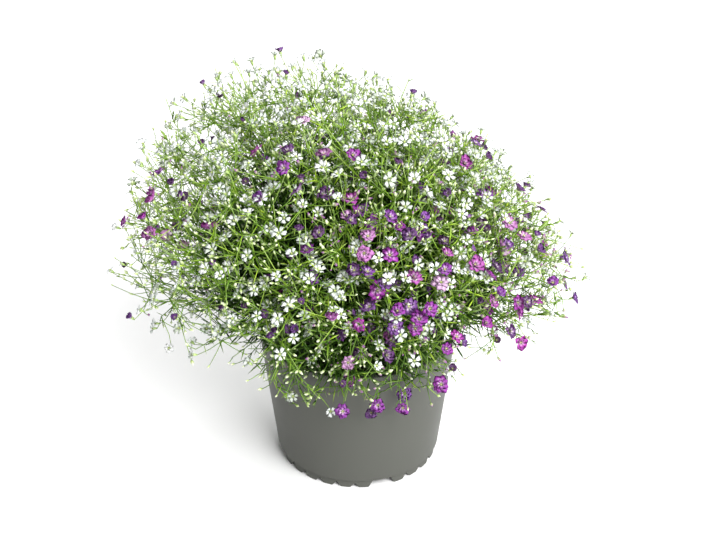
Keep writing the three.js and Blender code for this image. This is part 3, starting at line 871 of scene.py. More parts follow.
addStalks(shoots, "shoot", shootCrowns, rng.uniform(0, 1, shootCount))
addLeafPairs(shoots, "shoot", shootCrowns, rng)


def sideTwigs(curves, form, rng):
    # short curves that leave a longer one at an angle, cut short where they would leave the bush:
    # way = parent's way cos angle + a way square to it sin angle + a little rise
    count = len(curves["start"]) * form["perCurve"]
    own = {part: np.repeat(values, form["perCurve"], axis=0) for part, values in curves.items()}
    t = rng.uniform(*form["starts"], (count, 1))
    feet = pointsOn(own, t)[:, 0]
    parentWays = waysOn(own, t)[:, 0]
    out = acrossOf(parentWays, rng.uniform(0, 2 * np.pi, count))
    angle = np.radians(rng.uniform(*form["angles"], (count, 1)))
    ways = unit(parentWays * np.cos(angle) + out * np.sin(angle) + sideGrowth["rise"] * up)
    length = rng.uniform(*form["lengths"], (count, 1))
    startShare = shareOf(feet)[:, None]
    endShare = shareOf(feet + ways * length)[:, None]
    growth = np.maximum(endShare - startShare, sideGrowth["leastGrowth"])
    room = (sideGrowth["outermost"] - startShare) / growth
    isTooLong = endShare > sideGrowth["outermost"]
    length = length * np.where(isTooLong, np.clip(room, sideGrowth["shortest"], 1), 1)
    ends = feet + ways * length
    endWays = unit(ways + sideGrowth["outward"] * unit(ends - centre))
    return bend(feet, ways * length, ends, endWays * length)


twigs = sideTwigs(shoots, sideTwig, rng)
twigCrowns = np.repeat(shootCrowns, sideTwig["perCurve"])
addStalks(twigs, "sideTwig", twigCrowns, rng.uniform(0, 1, len(twigCrowns)))
addLeafPairs(twigs, "sideTwig", twigCrowns, rng)
print("leafy stems worked out")


# Scattered flowers and buds at the ends of shoots and side twigs, white and purple mixed

scattered = {
    "seed": 13,
    "perEnd": 2,
    "lengths": (5, 12),
    "angles": (15, 45),
    "kept": 0.5,
    "shares": (0.45, 1.0),
    "aboveSoil": 12,
    "flowers": 0.28,
    "outwardBetween": (0.4, 0.9),
    "lowFlowers": 0.25,
    "lowBetween": (0.05, 0.5),
    "purpleShares": (0.12, 0.36),
    "purpleBetween": (0.1, 0.7),
    "young": 0.6,
}

# owners are numbered: the crowns, the sprays, then each crown's scattered flowers by colour
crownCount = len(crownNames)
firstSpray = crownCount
firstScatteredWhite = firstSpray + sprayCount
firstScatteredPurple = firstScatteredWhite + crownCount

rng = np.random.default_rng(scattered["seed"])
for curves, owners in ((shoots, shootCrowns), (twigs, twigCrowns)):
    ends = np.repeat(pointsOn(curves, [1.0])[:, 0], scattered["perEnd"], axis=0)
    ways = np.repeat(unit(curves["endWay"]), scattered["perEnd"], axis=0)
    owners = np.repeat(owners, scattered["perEnd"])
    angle = np.radians(rng.uniform(*scattered["angles"], (len(ends), 1)))
    out = acrossOf(ways, rng.uniform(0, 2 * np.pi, len(ends)))
    length = rng.uniform(*scattered["lengths"], (len(ends), 1))
    places = ends + unit(ways * np.cos(angle) + out * np.sin(angle)) * length
    share = shareOf(places)
    isKept = (share > scattered["shares"][0]) & (share < scattered["shares"][1])
    isKept &= places[:, 2] > soilTop + scattered["aboveSoil"]
    isKept &= rng.uniform(0, 1, len(ends)) < scattered["kept"]
    directions = unit(places - centre)
    fullness = risingShare(scattered["lowFlowers"], *scattered["lowBetween"], directions[:, 2])
    flowerShare = scattered["flowers"] * fullness * smoothRise(*scattered["outwardBetween"], share)
    isFlower = rng.uniform(0, 1, len(ends)) < flowerShare
    purpleRise = smoothRise(*scattered["purpleBetween"], directions @ purpleSide)
    isPurple = rng.uniform(0, 1, len(ends)) < between(scattered["purpleShares"], purpleRise)
    isYoung = isPurple & (rng.uniform(0, 1, len(ends)) < scattered["young"])
    owners = owners + np.where(isPurple, firstScatteredPurple, firstScatteredWhite)
    facing = facingOf(directions, rng)
    drawn = (ends, places, facing, isFlower, isPurple, isYoung, owners)
    addPedicels(*(values[isKept] for values in drawn), rng)
print("scattered flowers worked out")


# The sprays: hub, forks, twigs and pedicels

sprays = {
    "seed": 5,
    "footAt": (0.04, 0.5, 1),
    "footRadius": 0.55,
    "footCorners": 5,
    "twigGather": 0.25,
    "twigShares": (0.86, 0.91),
    "twigRise": 0.3,
    "tipsPerTwig": 9,
    "lowTips": 0.2,  # the share of them that is made low down
    "lowBetween": (-2, 55),  # elevations
    "spread": (0.05, 0.17),
    "tipShares": (0.8, 1.03),  # of the reach
    "furtherAbove": 0.015,
    "furtherBetween": (0.5, 0.95),  # sines of the elevation
    "whiteFlowers": (0.09, 0.82),  # the share of tips in flower away from the white side and on it
    "whiteBetween": (0.3, 0.85),  # how squarely a tip faces the white side
    "purpleFlowers": 0.15,
    "ownSway": 0.7,
    "strayWhite": 0.16,
    "strayBetween": (0.1, 0.6),  # sines of the elevation
    "strayPurple": 0.07,
    "sideBuds": (0.42, 0.78),
}

sideBud = {
    "perCurve": 1,
    "starts": (0.25, 0.6),  # shares of the pedicel
    "angles": (25, 50),
    "lengths": (6, 13),
}

rng = np.random.default_rng(sprays["seed"])
footPaths = stemEnds[:, None] + (hubs - stemEnds)[:, None] * np.array(sprays["footAt"])[:, None]
addTubes(footPaths, sprays["footRadius"], sprays["footCorners"], firstSpray + np.arange(sprayCount), "stem")

forkPlaces = along(forkDirections, np.full(len(forkDirections), bush["forkShare"]))
forkFeet = hubs[forkSprays]
forkSpan = np.linalg.norm(forkPlaces - forkFeet, axis=-1, keepdims=True)
hubWays = unit(hubs - stemEnds)
forks = bend(
    forkFeet,
    forkSpan * unit(hubWays[forkSprays] + unit(forkPlaces - forkFeet)),
    forkPlaces,
    forkPlaces - forkFeet,
)
addStalks(forks, "fork", firstSpray + forkSprays)
addLeafPairs(forks, "fork", firstSpray + forkSprays, rng)

gather = sprays["twigGather"]
twigDirections = unit(sprayAxes[tipSprays] * gather + tipDirections * (1 - gather))
twigPlaces = overTheRim(along(twigDirections, rng.uniform(*sprays["twigShares"], bush["tips"])))
twigFeet = overTheRim(forkPlaces[tipForks])
twigSpan = np.linalg.norm(twigPlaces - twigFeet, axis=-1, keepdims=True)
tipTwigs = bend(
    twigFeet,
    twigPlaces - twigFeet,
    twigPlaces,
    twigSpan * unit(twigPlaces - twigFeet + sprays["twigRise"] * twigSpan * up),
)
addStalks(tipTwigs, "tipTwig", firstSpray + tipSprays)
addLeafPairs(tipTwigs, "tipTwig", firstSpray + tipSprays, rng)

# the fine tips round each tip of the solids: the first keeps its place, the others spread
perTwig = sprays["tipsPerTwig"]
parent = np.repeat(tipIndex, perTwig)
order = np.tile(np.arange(perTwig), bush["tips"])
fullness = risingShare(sprays["lowTips"], *sprays["lowBetween"], elevationOf(tipDirections)[:, 0])
isMade = (order == 0) | (rng.uniform(0, 1, len(parent)) < fullness[parent])
parent = parent[isMade]
order = order[isMade]
isOwn = order == 0
fineTurn = 2 * np.pi * (order / (perTwig - 1) + rng.uniform(0, 1, bush["tips"])[parent])
fineShift = rng.uniform(*sprays["spread"], len(parent)) * ~isOwn
fineSpread = acrossOf(tipDirections[parent], fineTurn) * fineShift[:, None]
fineDirections = unit(tipDirections[parent] + fineSpread)
fineShares = rng.uniform(*sprays["tipShares"], len(parent))
further = sprays["furtherAbove"] * smoothRise(*sprays["furtherBetween"], fineDirections[:, 2])
fineShares = np.where(isOwn, tipShares[parent], fineShares + further)
fineIsPurple = isPurpleSpray[tipSprays[parent]]
whiteRise = smoothRise(*sprays["whiteBetween"], fineDirections @ whiteSide)
flowerShares = np.where(fineIsPurple, sprays["purpleFlowers"], between(sprays["whiteFlowers"], whiteRise))
fineIsFlower = np.where(isOwn, tipIsFlower[parent], rng.uniform(0, 1, len(parent)) < flowerShares)
ownFacing = unit(fineDirections + sprays["ownSway"] * tipSway[parent])

# stray flowers of the other colour stand between them, the purple ones young. They belong to the
# crown's scattered flowers.
strayWhite = sprays["strayWhite"] * smoothRise(*sprays["strayBetween"], fineDirections[:, 2])
strayShares = np.where(fineIsPurple, strayWhite, sprays["strayPurple"])
isStray = ~isOwn & (rng.uniform(0, 1, len(parent)) < strayShares)
fineIsPurple = fineIsPurple ^ isStray
fineIsFlower = fineIsFlower | isStray
strayOwners = np.where(fineIsPurple, firstScatteredPurple, firstScatteredWhite)
strayOwners = strayOwners + sprayCrowns[tipSprays[parent]]
fineFacing = np.where(isOwn[:, None], ownFacing, facingOf(fineDirections, rng))
fineOwners = np.where(isStray, strayOwners, firstSpray + tipSprays[parent])
pedicels = addPedicels(twigPlaces[parent], along(fineDirections, fineShares), fineFacing, fineIsFlower,
                       fineIsPurple, isStray & fineIsPurple, fineOwners, rng)

# a bud on a short pedicel of its own beside many of the tips
hasSide = rng.uniform(0, 1, len(parent)) < between(sprays["sideBuds"], whiteRise)
sideParents = {part: values[hasSide] for part, values in pedicels.items()}
sideBuds = sideTwigs(sideParents, sideBud, rng)
noFlowers = np.zeros(int(hasSide.sum()), bool)
addPedicels(sideBuds["start"], sideBuds["end"], sideBuds["endWay"], noFlowers, fineIsPurple[hasSide],
            noFlowers, fineOwners[hasSide], rng)
addLeafPairs(sideParents, "pedicel", fineOwners[hasSide], rng)
print("sprays worked out")


# Materials. Their nodes read what the meshes carry: each item's tone, how far along and to the
# side of its shape a corner lies, and how far out in the bush, which sets the greens' painted shade.

foliage = {
    "leafTones": [(0, "#2c5008"), (0.4, "#5f8a14"), (0.75, "#8cb222"), (1, "#bfde44")],
    "leafTip": "#a8b47c",
    "leafRoughness": 0.6,
    "stemTones": [(0, "#4c7616"), (0.6, "#82ae2c"), (1, "#b2d650")],
    "stemTip": "#abb68c",
    "stemRoughness": 0.55,
    # painted shade: the greens are multiplied by it, near black deep and low in the bush, white at its
    # outside
    "paintedShadeTones": [(0, "#1f3010"), (0.55, "#74943f"), (0.97, "#ffffff")],
    "tipFrom": 0.3,
    "tipShare": 0.5,
    "specular": 0.3,
}

buds = {
    "calyx": [(0, "#8aa84e"), (1, "#b4cc86")],
    "ovary": [(0, "#8fae4c"), (1, "#c8cf7e")],
    "white": [(0, "#8fb04c"), (0.45, "#bacb86"), (0.9, "#e2e7cb")],
    "purple": [(0, "#86a052"), (0.5, "#a8a08c"), (0.85, "#8a4f94")],
    "roughness": 0.5,
}

petalColours = {
    "whiteTones": [(0, "#bac4b2"), (0.25, "#d2dad3"), (0.7, "#e8eeeb"), (1, "#f8faf9")],
    "whiteThroat": "#b4c48c",
    "whitePaleTo": 0.42,
    "whitePaleShare": 0.7,
    "purpleTones": [
        (0, "#4a2650"), (0.14, "#653a74"), (0.32, "#7d4a9a"), (0.5, "#8c3799"), (0.82, "#a5369e"),
        (0.94, "#b272ae"), (1, "#c6a5c4"),
    ],
    "purpleThroat": "#f0e2ec",
    "purplePaleTo": 0.7,
    "purplePaleShare": 0.95,
    "paleFrom": 0.1,
    "edgeShare": 0.35,
    "roughness": 0.6,
}

potFinish = {
    "colour": "#565752",
    "ior": 1.49,
    "specular": 0.12,
    "roughness": (0.38, 0.5),
    "patch": 16.667,  # mm
    "detail": 3.0,
}

soilFinish = {
    "tones": [(0.3, "#15100b"), (0.6, "#33271c"), (0.8, "#55432f")],
    "roughness": 0.95,
    "crumb": 2.857,  # mm
    "detail": 5.0,
}

# sockets of the Mix node for colours, whose names it shares with its other kinds
mixFactor = 0
mixFirst = 6
mixSecond = 7
mixResult = 2


def linear(hexColour):
    # an sRGB hex colour as linear red, green, blue and 1: c / 12.92 for the darkest channels, and
    # ((c + 0.055) / 1.055)^2.4 for the others
    channels = [int(hexColour[i:i + 2], 16) / 255 for i in (1, 3, 5)]
    return [c / 12.92 if c <= 0.04045 else ((c + 0.055) / 1.055) ** 2.4 for c in channels] + [1.0]


def scaleOf(size):
    # a noise's scale on Object coordinates, which are in metres, from the size of its patches in mm
    return 1 / (size * millimetre)


def addNode(tree, kind, settings=None, inputs=None):
    # settings are the node's own properties, and stops are a ramp's places and colours.
    # An input is a value or another node's output.
    node = tree.nodes.new(kind)
    for name, value in (settings or {}).items():
        if name == "stops":
            while len(node.color_ramp.elements) < len(value):
                node.color_ramp.elements.new(0.5)
            for element, (place, colour) in zip(node.color_ramp.elements, value):
                element.position = place
                element.color = linear(colour)
        else:
            setattr(node, name, value)
    for name, value in (inputs or {}).items():
        if isinstance(value, bpy.types.NodeSocket):
            tree.links.new(value, node.inputs[name])
        else:
            node.inputs[name].default_value = value
    return node


def newMaterial(name, roughness, ior=1.45):
    # a principled surface with its roughness, and leaf wax's index of refraction unless one is given
    material = bpy.data.materials.new(name)
    material.use_nodes = True
    tree = material.node_tree
    shader = tree.nodes["Principled BSDF"]
    shader.inputs["Roughness"].default_value = roughness
    shader.inputs["IOR"].default_value = ior
    return material, tree, shader


def greenMaterial(name, part):
    # waxy leaf or smooth young stem, grown: a soft sheen with no clear highlight. Its green goes by
    # the item's own tone, paler to its tip, and darker deep in the bush and low down with painted shade.
    material, tree, shader = newMaterial(name, foliage[part + "Roughness"])
    shader.inputs["Specular IOR Level"].default_value = foliage["specular"]
    tone = addNode(tree, "ShaderNodeAttribute", {"attribute_name": "tone"})
    tones = foliage[part + "Tones"]
    green = addNode(tree, "ShaderNodeValToRGB", {"stops": tones}, {"Fac": tone.outputs["Fac"]})
    place = addNode(tree, "ShaderNodeAttribute", {"attribute_name": "along"})
    tipShare = addNode(tree, "ShaderNodeMapRange", None,
                       {"Value": place.outputs["Fac"], "From Min": foliage["tipFrom"],
                        "To Max": foliage["tipShare"]})
    paler = addNode(tree, "ShaderNodeMix", {"data_type": "RGBA"},
                    {mixFactor: tipShare.outputs["Result"], mixFirst: green.outputs["Color"],
                     mixSecond: linear(foliage[part + "Tip"])})
    # painted shade: the green is multiplied darker deep in the bush and low down
    outer = addNode(tree, "ShaderNodeAttribute", {"attribute_name": "outer"})
    paintedShade = addNode(tree, "ShaderNodeValToRGB", {"stops": foliage["paintedShadeTones"]}, {"Fac": outer.outputs["Fac"]})
    shadedGreen = addNode(tree, "ShaderNodeMix", {"data_type": "RGBA", "blend_type": "MULTIPLY"},
                   {mixFactor: 1.0, mixFirst: paler.outputs[mixResult], mixSecond: paintedShade.outputs["Color"]})
    tree.links.new(shadedGreen.outputs[mixResult], shader.inputs["Base Color"])
    return material


def budMaterial(name, stops):
    # calyx, ovary or closed bud, grown: smooth and soft, its colour changes from foot to point
    material, tree, shader = newMaterial(name, buds["roughness"])
    place = addNode(tree, "ShaderNodeAttribute", {"attribute_name": "along"})
    ramp = addNode(tree, "ShaderNodeValToRGB", {"stops": stops}, {"Fac": place.outputs["Fac"]})
    tree.links.new(ramp.outputs["Color"], shader.inputs["Base Color"])
    return material


def petalMaterial(name, colour):
    # thin grown petal: quite matt, so its colour looks alike from every side. Each flower has a
    # colour of its own, and a pale throat runs out along the middle of each petal in a streak.
    material, tree, shader = newMaterial(name, petalColours["roughness"])
    tone = addNode(tree, "ShaderNodeAttribute", {"attribute_name": "tone"})
    tint = addNode(tree, "ShaderNodeValToRGB", {"stops": petalColours[colour + "Tones"]},
                   {"Fac": tone.outputs["Fac"]})
    place = addNode(tree, "ShaderNodeAttribute", {"attribute_name": "along"})
    pale = addNode(tree, "ShaderNodeMapRange", {"interpolation_type": "SMOOTHSTEP"},
                   {"Value": place.outputs["Fac"], "From Min": petalColours["paleFrom"],
                    "From Max": petalColours[colour + "PaleTo"],
                    "To Min": petalColours[colour + "PaleShare"], "To Max": 0.0})
    side = addNode(tree, "ShaderNodeAttribute", {"attribute_name": "side"})
    across = addNode(tree, "ShaderNodeMath", {"operation": "ABSOLUTE"}, {0: side.outputs["Fac"]})
    middle = addNode(tree, "ShaderNodeMapRange", None,
                     {"Value": across.outputs[0], "To Min": 1.0, "To Max": petalColours["edgeShare"]})
    streak = addNode(tree, "ShaderNodeMath", {"operation": "MULTIPLY"},
                     {0: pale.outputs["Result"], 1: middle.outputs["Result"]})
    petal = addNode(tree, "ShaderNodeMix", {"data_type": "RGBA"},
                    {mixFactor: streak.outputs[0], mixFirst: tint.outputs["Color"],
                     mixSecond: linear(petalColours[colour + "Throat"])})
    tree.links.new(petal.outputs[mixResult], shader.inputs["Base Color"])
    return material


def potMaterial():
    # moulded polypropylene: a wide satin sheen, faintly uneven where the plastic cooled in patches
    glossiest, dullest = potFinish["roughness"]
    material, tree, shader = newMaterial("polypropylene_satin_grey", glossiest, potFinish["ior"])
    shader.inputs["Base Color"].default_value = linear(potFinish["colour"])
    shader.inputs["Specular IOR Level"].default_value = potFinish["specular"]
    place = addNode(tree, "ShaderNodeTexCoord").outputs["Object"]
    scale = scaleOf(potFinish["patch"])
    noise = addNode(tree, "ShaderNodeTexNoise", None,
                    {"Vector": place, "Scale": scale, "Detail": potFinish["detail"]})
    gloss = addNode(tree, "ShaderNodeMapRange", None,
                    {"Value": noise.outputs["Fac"], "To Min": glossiest, "To Max": dullest})
    tree.links.new(gloss.outputs["Result"], shader.inputs["Roughness"])
    return material


def soilMaterial():
    # peat compost, sieved: quite dull, with dark gaps and paler fibres between its crumbs
    material, tree, shader = newMaterial("peat_compost_sieved", soilFinish["roughness"])
    place = addNode(tree, "ShaderNodeTexCoord").outputs["Object"]
    scale = scaleOf(soilFinish["crumb"])
    noise = addNode(tree, "ShaderNodeTexNoise", None,
                    {"Vector": place, "Scale": scale, "Detail": soilFinish["detail"]})
    ramp = addNode(tree, "ShaderNodeValToRGB", {"stops": soilFinish["tones"]},
                   {"Fac": noise.outputs["Fac"]})
    tree.links.new(ramp.outputs["Color"], shader.inputs["Base Color"])
    return material


materials = {
    "leaf": greenMaterial("leaf_waxy_linear", "leaf"),
    "stem": greenMaterial("stem_smooth_green", "stem"),
    "calyx": budMaterial("calyx_ribbed", buds["calyx"]),
    "ovary": budMaterial("ovary_fresh", buds["ovary"]),
    "whiteBud": budMaterial("bud_pale_green", buds["white"]),
    "purpleBud": budMaterial("bud_purple_tip", buds["purple"]),
    "whitePetal": petalMaterial("petal_white", "white"),
    "purplePetal": petalMaterial("petal_purple", "purple"),
    "pot": potMaterial(),
    "soil": soilMaterial(),
}
print("materials made")


# Meshes

def addMesh(name, points, faces, materialNames, faceMaterials, attributes):
    # points in millimetres become a mesh in metres, with a float for each point in each attribute
    mesh = bpy.data.meshes.new(name)
    mesh.from_pydata((points * millimetre).tolist(), [], faces)
    for materialName in materialNames:
        mesh.materials.append(materials[materialName])
    mesh.polygons.foreach_set("material_index", faceMaterials)
    for attributeName, values in attributes.items():
        attribute = mesh.attributes.new(attributeName, "FLOAT", "POINT")
        attribute.data.foreach_set("value", np.ascontiguousarray(values, np.float32))
    mesh.shade_smooth()
    mesh.update()
    piece = bpy.data.objects.new(name, mesh)
    bpy.context.scene.collection.objects.link(piece)
    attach(piece, "root")
    return piece


def addPlantPiece(name, owner):
    # joins every item that belongs to one owner, each entry's faces shifted to its own points
    points, faces, faceMaterials, materialNames = [], [], [], []
    attributes = {"along": [], "side": [], "outer": [], "tone": []}
    offset = 0
    for entry in entries:
        chosen = entry["owners"] == owner
        number = int(chosen.sum())
        if number == 0:
            continue
        corners = entry["points"].shape[1]
        if entry["material"] not in materialNames:
            materialNames.append(entry["material"])
        slot = materialNames.index(entry["material"])
        shift = offset + corners * np.arange(number)[:, None, None]
        for pattern in entry["faces"]:
            items = (pattern + shift).reshape(-1, pattern.shape[1])
            faces += items.tolist()
            faceMaterials.append(np.full(len(items), slot))
        points.append(entry["points"][chosen].reshape(-1, 3))
        for attributeName in ("along", "side", "outer"):
            attributes[attributeName].append(entry[attributeName + "s"][chosen].ravel())
        attributes["tone"].append(np.repeat(entry["tones"][chosen], corners))
        offset += corners * number
    return addMesh(name, np.vstack(points), faces, materialNames, np.concatenate(faceMaterials),
                   {key: np.concatenate(values) for key, values in attributes.items()})


for crown, crownName in enumerate(crownNames):
    piece = addPlantPiece(f"fine_leafy_stems_{crownName}", crown)
    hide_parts(f"leafy_stems_{crownName}")

numbers = {"white": 0, "purple": 0}
for spray in range(sprayCount):
    colour = "purple" if isPurpleSpray[spray] else "white"
    numbers[colour] += 1
    piece = addPlantPiece(f"fine_spray_{colour}_{numbers[colour]}", firstSpray + spray)
    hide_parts(f"spray_{colour}_{numbers[colour]}")
for colour, firstOwner in (("white", firstScatteredWhite), ("purple", firstScatteredPurple)):
    for crown, crownName in enumerate(crownNames):
        piece = addPlantPiece(f"scattered_{colour}_flowers_{crownName}", firstOwner + crown)

triangles = 0
for entry in entries:
    perItem = sum(len(pattern) * (pattern.shape[1] - 2) for pattern in entry["faces"])
    triangles += perItem * len(entry["owners"])
print("plant pieces made,", triangles, "triangles")


# The pot: one profile turned about the axis, whose feet come and go with the angle

potForm = {
    "turns": 672,
    "feet": 28,
    "footHeight": 4.8,
    "notchDepths": (2.4, 4.6),
    "notchFrom": 0.22,
    "gaps": 4,
    "firstGap": -73,
    "gapBetween": (0.54, 0.62),
    "footCeiling": 0.4,
    "underside": 5.8,
    "floor": 7.3,
    "floorRing": 30,
    "floorEdge": 53.2,
    "outsideHeights": (6.4, 7.2, 12, 30, 50, 70, 85, 91.4, 92.3),
    "insideHeights": (90.5, 85, 60, 30, 8.5),
    "sharpAngle": 35,
}

# radius, height, and 1 where a point follows the feet
footProfile = [
    (51.6, 5.8, 0), (52, 5.5, 0), (52.1, 0.25, 1), (52.4, 0, 1), (53.6, 0, 1), (53.85, 0.25, 1),
    (53.7, 5.6, 0), (53.7, 6.0, 0), (54.9, 6.1, 0),
]
lipProfile = [
    (64.85, 92.75, 0), (64.5, 93.0, 0), (62.2, 93.0, 0), (61.5, 92.8, 0), (61.3, 92.4, 0),
    (61.6, 91.9, 0), (63.2, 91.5, 0),
]

drains = {
    "ring": 45,
    "radius": 4.5,
    "turns": 32,
    "overlap": 2,
}


def wallProfile(heights, inwards):
    # the wall's radius at each height, less by a thickness for its inside
    heights = np.array(heights, float)
    return np.stack([wallRadius(heights) - inwards, heights, 0 * heights], axis=-1)


def footBottom(azimuth):
    # 0 under each foot's round lobe, rising to a notch of its own drawn depth between two feet,
    # and the full foot height where a gap leaves a foot out. place counts feet round the pot.
    halfway = 0.5
    place = (azimuth - potForm["firstGap"]) * potForm["feet"] / 360
    within = np.abs((place + halfway) % 1 - halfway)
    notch = np.floor(place) % potForm["feet"]
    depth = between(potForm["notchDepths"], draw(notch, "footNotch"))
    rise = depth * smoothRise(potForm["notchFrom"], halfway, within)
    perGap = potForm["feet"] / potForm["gaps"]
    fromGap = np.abs((place + perGap / 2) % perGap - perGap / 2)
    inGap = 1 - smoothRise(*potForm["gapBetween"], fromGap)
    return np.maximum(rise, potForm["footHeight"] * inGap)


def closedTurn(rings, bottomHeight, topHeight):
    # quads between a stack of rings, and a fan from the axis on its first and its last ring
    count, turns = rings.shape[:2]
    points = np.vstack([rings.reshape(-1, 3), [[0, 0, bottomHeight], [0, 0, topHeight]]])
    ring, turn = np.meshgrid(np.arange(count - 1), np.arange(turns), indexing="ij")
    beside = (turn + 1) % turns
    quads = np.stack([
        ring * turns + turn,
        ring * turns + beside,
        (ring + 1) * turns + beside,
        (ring + 1) * turns + turn,
    ], axis=-1).reshape(-1, 4)
    edge = np.arange(turns)
    nextEdge = (edge + 1) % turns
    last = (count - 1) * turns
    first = np.stack([np.full(turns, count * turns), nextEdge, edge], axis=-1)
    final = np.stack([np.full(turns, count * turns + 1), last + edge, last + nextEdge], axis=-1)
    return points, quads.tolist() + first.tolist() + final.tolist()


def makePot():
    # radius and height along the profile, from the middle of the underside over the rim to the
    # floor, where the feet's points are raised by the foot bottom of their angle
    azimuth = 360 * np.arange(potForm["turns"]) / potForm["turns"]
    profile = np.vstack([
        [(potForm["floorRing"], potForm["underside"], 0)],
        footProfile,
        wallProfile(potForm["outsideHeights"], 0),
        lipProfile,
        wallProfile(potForm["insideHeights"], potWall["thickness"]),
        [(potForm["floorEdge"], potForm["floor"], 0), (potForm["floorRing"], potForm["floor"], 0)],
    ])
    radius, height, isFoot = (values[:, None] for values in profile.T)
    ceiling = np.where(isFoot > 0, potForm["underside"] - potForm["footCeiling"], height)
    z = np.minimum(height + isFoot * footBottom(azimuth), ceiling)
    x = radius * np.cos(np.radians(azimuth))
    y = radius * np.sin(np.radians(azimuth))
    points, faces = closedTurn(np.stack([x, y, z], axis=-1), potForm["underside"], potForm["floor"])
    piece = addMesh("fine_pot", points, faces, ["pot"], np.zeros(len(faces), int), {})
    cutDrains(piece)
    return piece


def cutDrains(piece):
    # a round hole through the floor behind each gap, cut by a tube that stands out at both ends
    turns = 2 * np.pi * np.arange(drains["turns"]) / drains["turns"]
    azimuth = np.radians(potForm["firstGap"] + 360 * np.arange(potForm["gaps"]) / potForm["gaps"])
    heights = np.array([potForm["underside"] - drains["overlap"], potForm["floor"] + drains["overlap"]])
    faces = [face for pattern in ringFaces(2, drains["turns"]) for face in pattern.tolist()]
    cutters = []
    for angle in azimuth:
        x = drains["ring"] * np.cos(angle) + drains["radius"] * np.cos(turns)
        y = drains["ring"] * np.sin(angle) + drains["radius"] * np.sin(turns)
        rings = np.stack([np.stack([x, y, np.full(turns.shape, z)], axis=-1) for z in heights])
        mesh = bpy.data.meshes.new("drain")
        mesh.from_pydata((rings.reshape(-1, 3) * millimetre).tolist(), [], faces)
        cutter = bpy.data.objects.new("drain", mesh)
        bpy.context.scene.collection.objects.link(cutter)
        cut = piece.modifiers.new("drain", "BOOLEAN")
        cut.operation = "DIFFERENCE"
        cut.solver = "EXACT"
        cut.object = cutter
        cutters.append(cutter)
    bpy.context.view_layer.update()
    evaluated = piece.evaluated_get(bpy.context.evaluated_depsgraph_get())
    whole = bpy.data.meshes.new_from_object(evaluated)
    piece.modifiers.clear()
    piece.data = whole
    whole.set_sharp_from_angle(angle=math.radians(potForm["sharpAngle"]))
    for cutter in cutters:
        bpy.data.objects.remove(cutter)


pot = makePot()
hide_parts("pot")
print("pot made")


# The soil: a lump with a crumbly top

soilForm = {
    "rings": 40,
    "turns": 120,
    "gap": 0.35,
    "innermost": 0.02,
    "bump": 1.3,
    "waveX": 0.31,  # radians for each millimetre
    "waveY": 0.27,
    "slant": 0.11,
    "waveStart": 1,
    "crumb": 0.3,
    "calmFrom": 6,
    "calmTo": 1,
    "bottom": 7.6,
    "seed": 21,
}


def makeSoil():
    # height = top + bump sin(wave x + start) cos(wave y + slant x) + a drawn crumb, and both of them
    # fade out towards the wall
    rng = np.random.default_rng(soilForm["seed"])
    edgeRadius = float(wallRadius(soilTop)) - potWall["thickness"] - soilForm["gap"]
    radius = edgeRadius * np.linspace(1, soilForm["innermost"], soilForm["rings"])[:, None]
    azimuth = 2 * np.pi * np.arange(soilForm["turns"]) / soilForm["turns"]
    x = radius * np.cos(azimuth)
    y = radius * np.sin(azimuth)
    calm = 1 - smoothRise(edgeRadius - soilForm["calmFrom"], edgeRadius - soilForm["calmTo"], radius)
    wave = np.sin(soilForm["waveX"] * x + soilForm["waveStart"])
    wave = wave * np.cos(soilForm["waveY"] * y + soilForm["slant"] * x)
    crumbs = rng.normal(0, soilForm["crumb"], x.shape)
    top = np.stack([x, y, soilTop + calm * (soilForm["bump"] * wave + crumbs)], axis=-1)
    foot = float(wallRadius(soilForm["bottom"])) - potWall["thickness"] - soilForm["gap"]
    level = np.full(azimuth.shape, soilForm["bottom"])
    bottom = np.stack([foot * np.cos(azimuth), foot * np.sin(azimuth), level], axis=-1)
    points, faces = closedTurn(np.concatenate([bottom[None], top]), soilForm["bottom"], soilTop)
    return addMesh("fine_soil", points, faces, ["soil"], np.zeros(len(faces), int), {})


soil = makeSoil()
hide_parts("soil")
print("soil made")


# The stage, in metres: a pale floor, soft light with its key from the right, and the camera

stage = {
    "floorSize": 12.0,
    "floorColour": "#fbfbfb",
    "floorRoughness": 0.9,
    "darkSide": "#3c3c3c",
    "brightSide": "#ffffff",
    "brightFrom": 0.7,
    "worldStrength": 0.8,
    "cameraPlace": (0, -0.650, 0.483),
    "cameraTilt": 28.3,  # degrees below level
    "lens": 57.82,
    "sensorWidth": 36,
    "nearest": 0.01,
}

lamps = {
    "key": {"place": (0.75, -1.15, 1.25), "target": (0, 0, 0.1), "size": 1.2, "power": 48},
    "behind": {"place": (0, 2.0, 2.4), "target": (0, 1.5, 0), "size": 2.0, "power": 60},
}


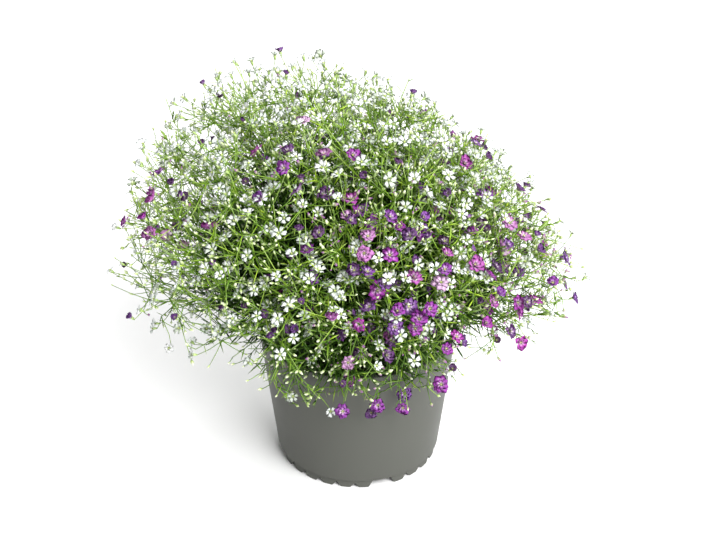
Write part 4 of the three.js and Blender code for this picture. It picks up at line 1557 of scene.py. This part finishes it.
def addLight(name, place, target, size, power):
    # a round lamp, tilted by the angle between straight down and its target, and turned to it
    light = bpy.data.lights.new(name, "AREA")
    light.shape = "DISK"
    light.size = size
    light.energy = power
    lamp = bpy.data.objects.new(name, light)
    lamp.location = place
    x, y, z = np.subtract(target, place)
    tilt = math.atan2(math.hypot(x, y), -z)
    lamp.rotation_euler = (tilt, 0, math.atan2(y, x) - math.pi / 2)
    bpy.context.scene.collection.objects.link(lamp)


half = stage["floorSize"] / 2
floorCorners = [(-half, -half, 0), (half, -half, 0), (half, half, 0), (-half, half, 0)]
floorMesh = bpy.data.meshes.new("floor")
floorMesh.from_pydata(floorCorners, [], [(0, 1, 2, 3)])
# painted board: matt white, so that it takes a soft shadow and shows no reflection
floorMaterial, _, floorShader = newMaterial("floor_matt_white", stage["floorRoughness"])
floorShader.inputs["Base Color"].default_value = linear(stage["floorColour"])
floorMesh.materials.append(floorMaterial)
floor = bpy.data.objects.new("floor", floorMesh)
bpy.context.scene.collection.objects.link(floor)

# the world is darker on the left than on the right, which shades the pot's left side
world = bpy.data.worlds.new("studio")
bpy.context.scene.world = world
world.use_nodes = True
sky = world.node_tree
background = sky.nodes["Background"]
background.inputs["Strength"].default_value = stage["worldStrength"]
skyWay = addNode(sky, "ShaderNodeTexCoord")
skyPart = addNode(sky, "ShaderNodeSeparateXYZ", None, {"Vector": skyWay.outputs["Generated"]})
skyShare = addNode(sky, "ShaderNodeMapRange", None, {"Value": skyPart.outputs["X"], "From Min": -1.0})
skyRamp = addNode(sky, "ShaderNodeValToRGB",
                  {"stops": [(0, stage["darkSide"]), (stage["brightFrom"], stage["brightSide"])]},
                  {"Fac": skyShare.outputs["Result"]})
sky.links.new(skyRamp.outputs["Color"], background.inputs["Color"])

for name, lamp in lamps.items():
    addLight(name, **lamp)

camera = bpy.data.objects.new("camera", bpy.data.cameras.new("camera"))
camera.location = stage["cameraPlace"]
camera.rotation_euler = (math.radians(90 - stage["cameraTilt"]), 0, 0)
camera.data.lens = stage["lens"]
camera.data.sensor_width = stage["sensorWidth"]
camera.data.clip_start = stage["nearest"]
bpy.context.scene.collection.objects.link(camera)
bpy.context.scene.camera = camera
bpy.context.scene.view_settings.view_transform = "Standard"

bpy.context.view_layer.update()
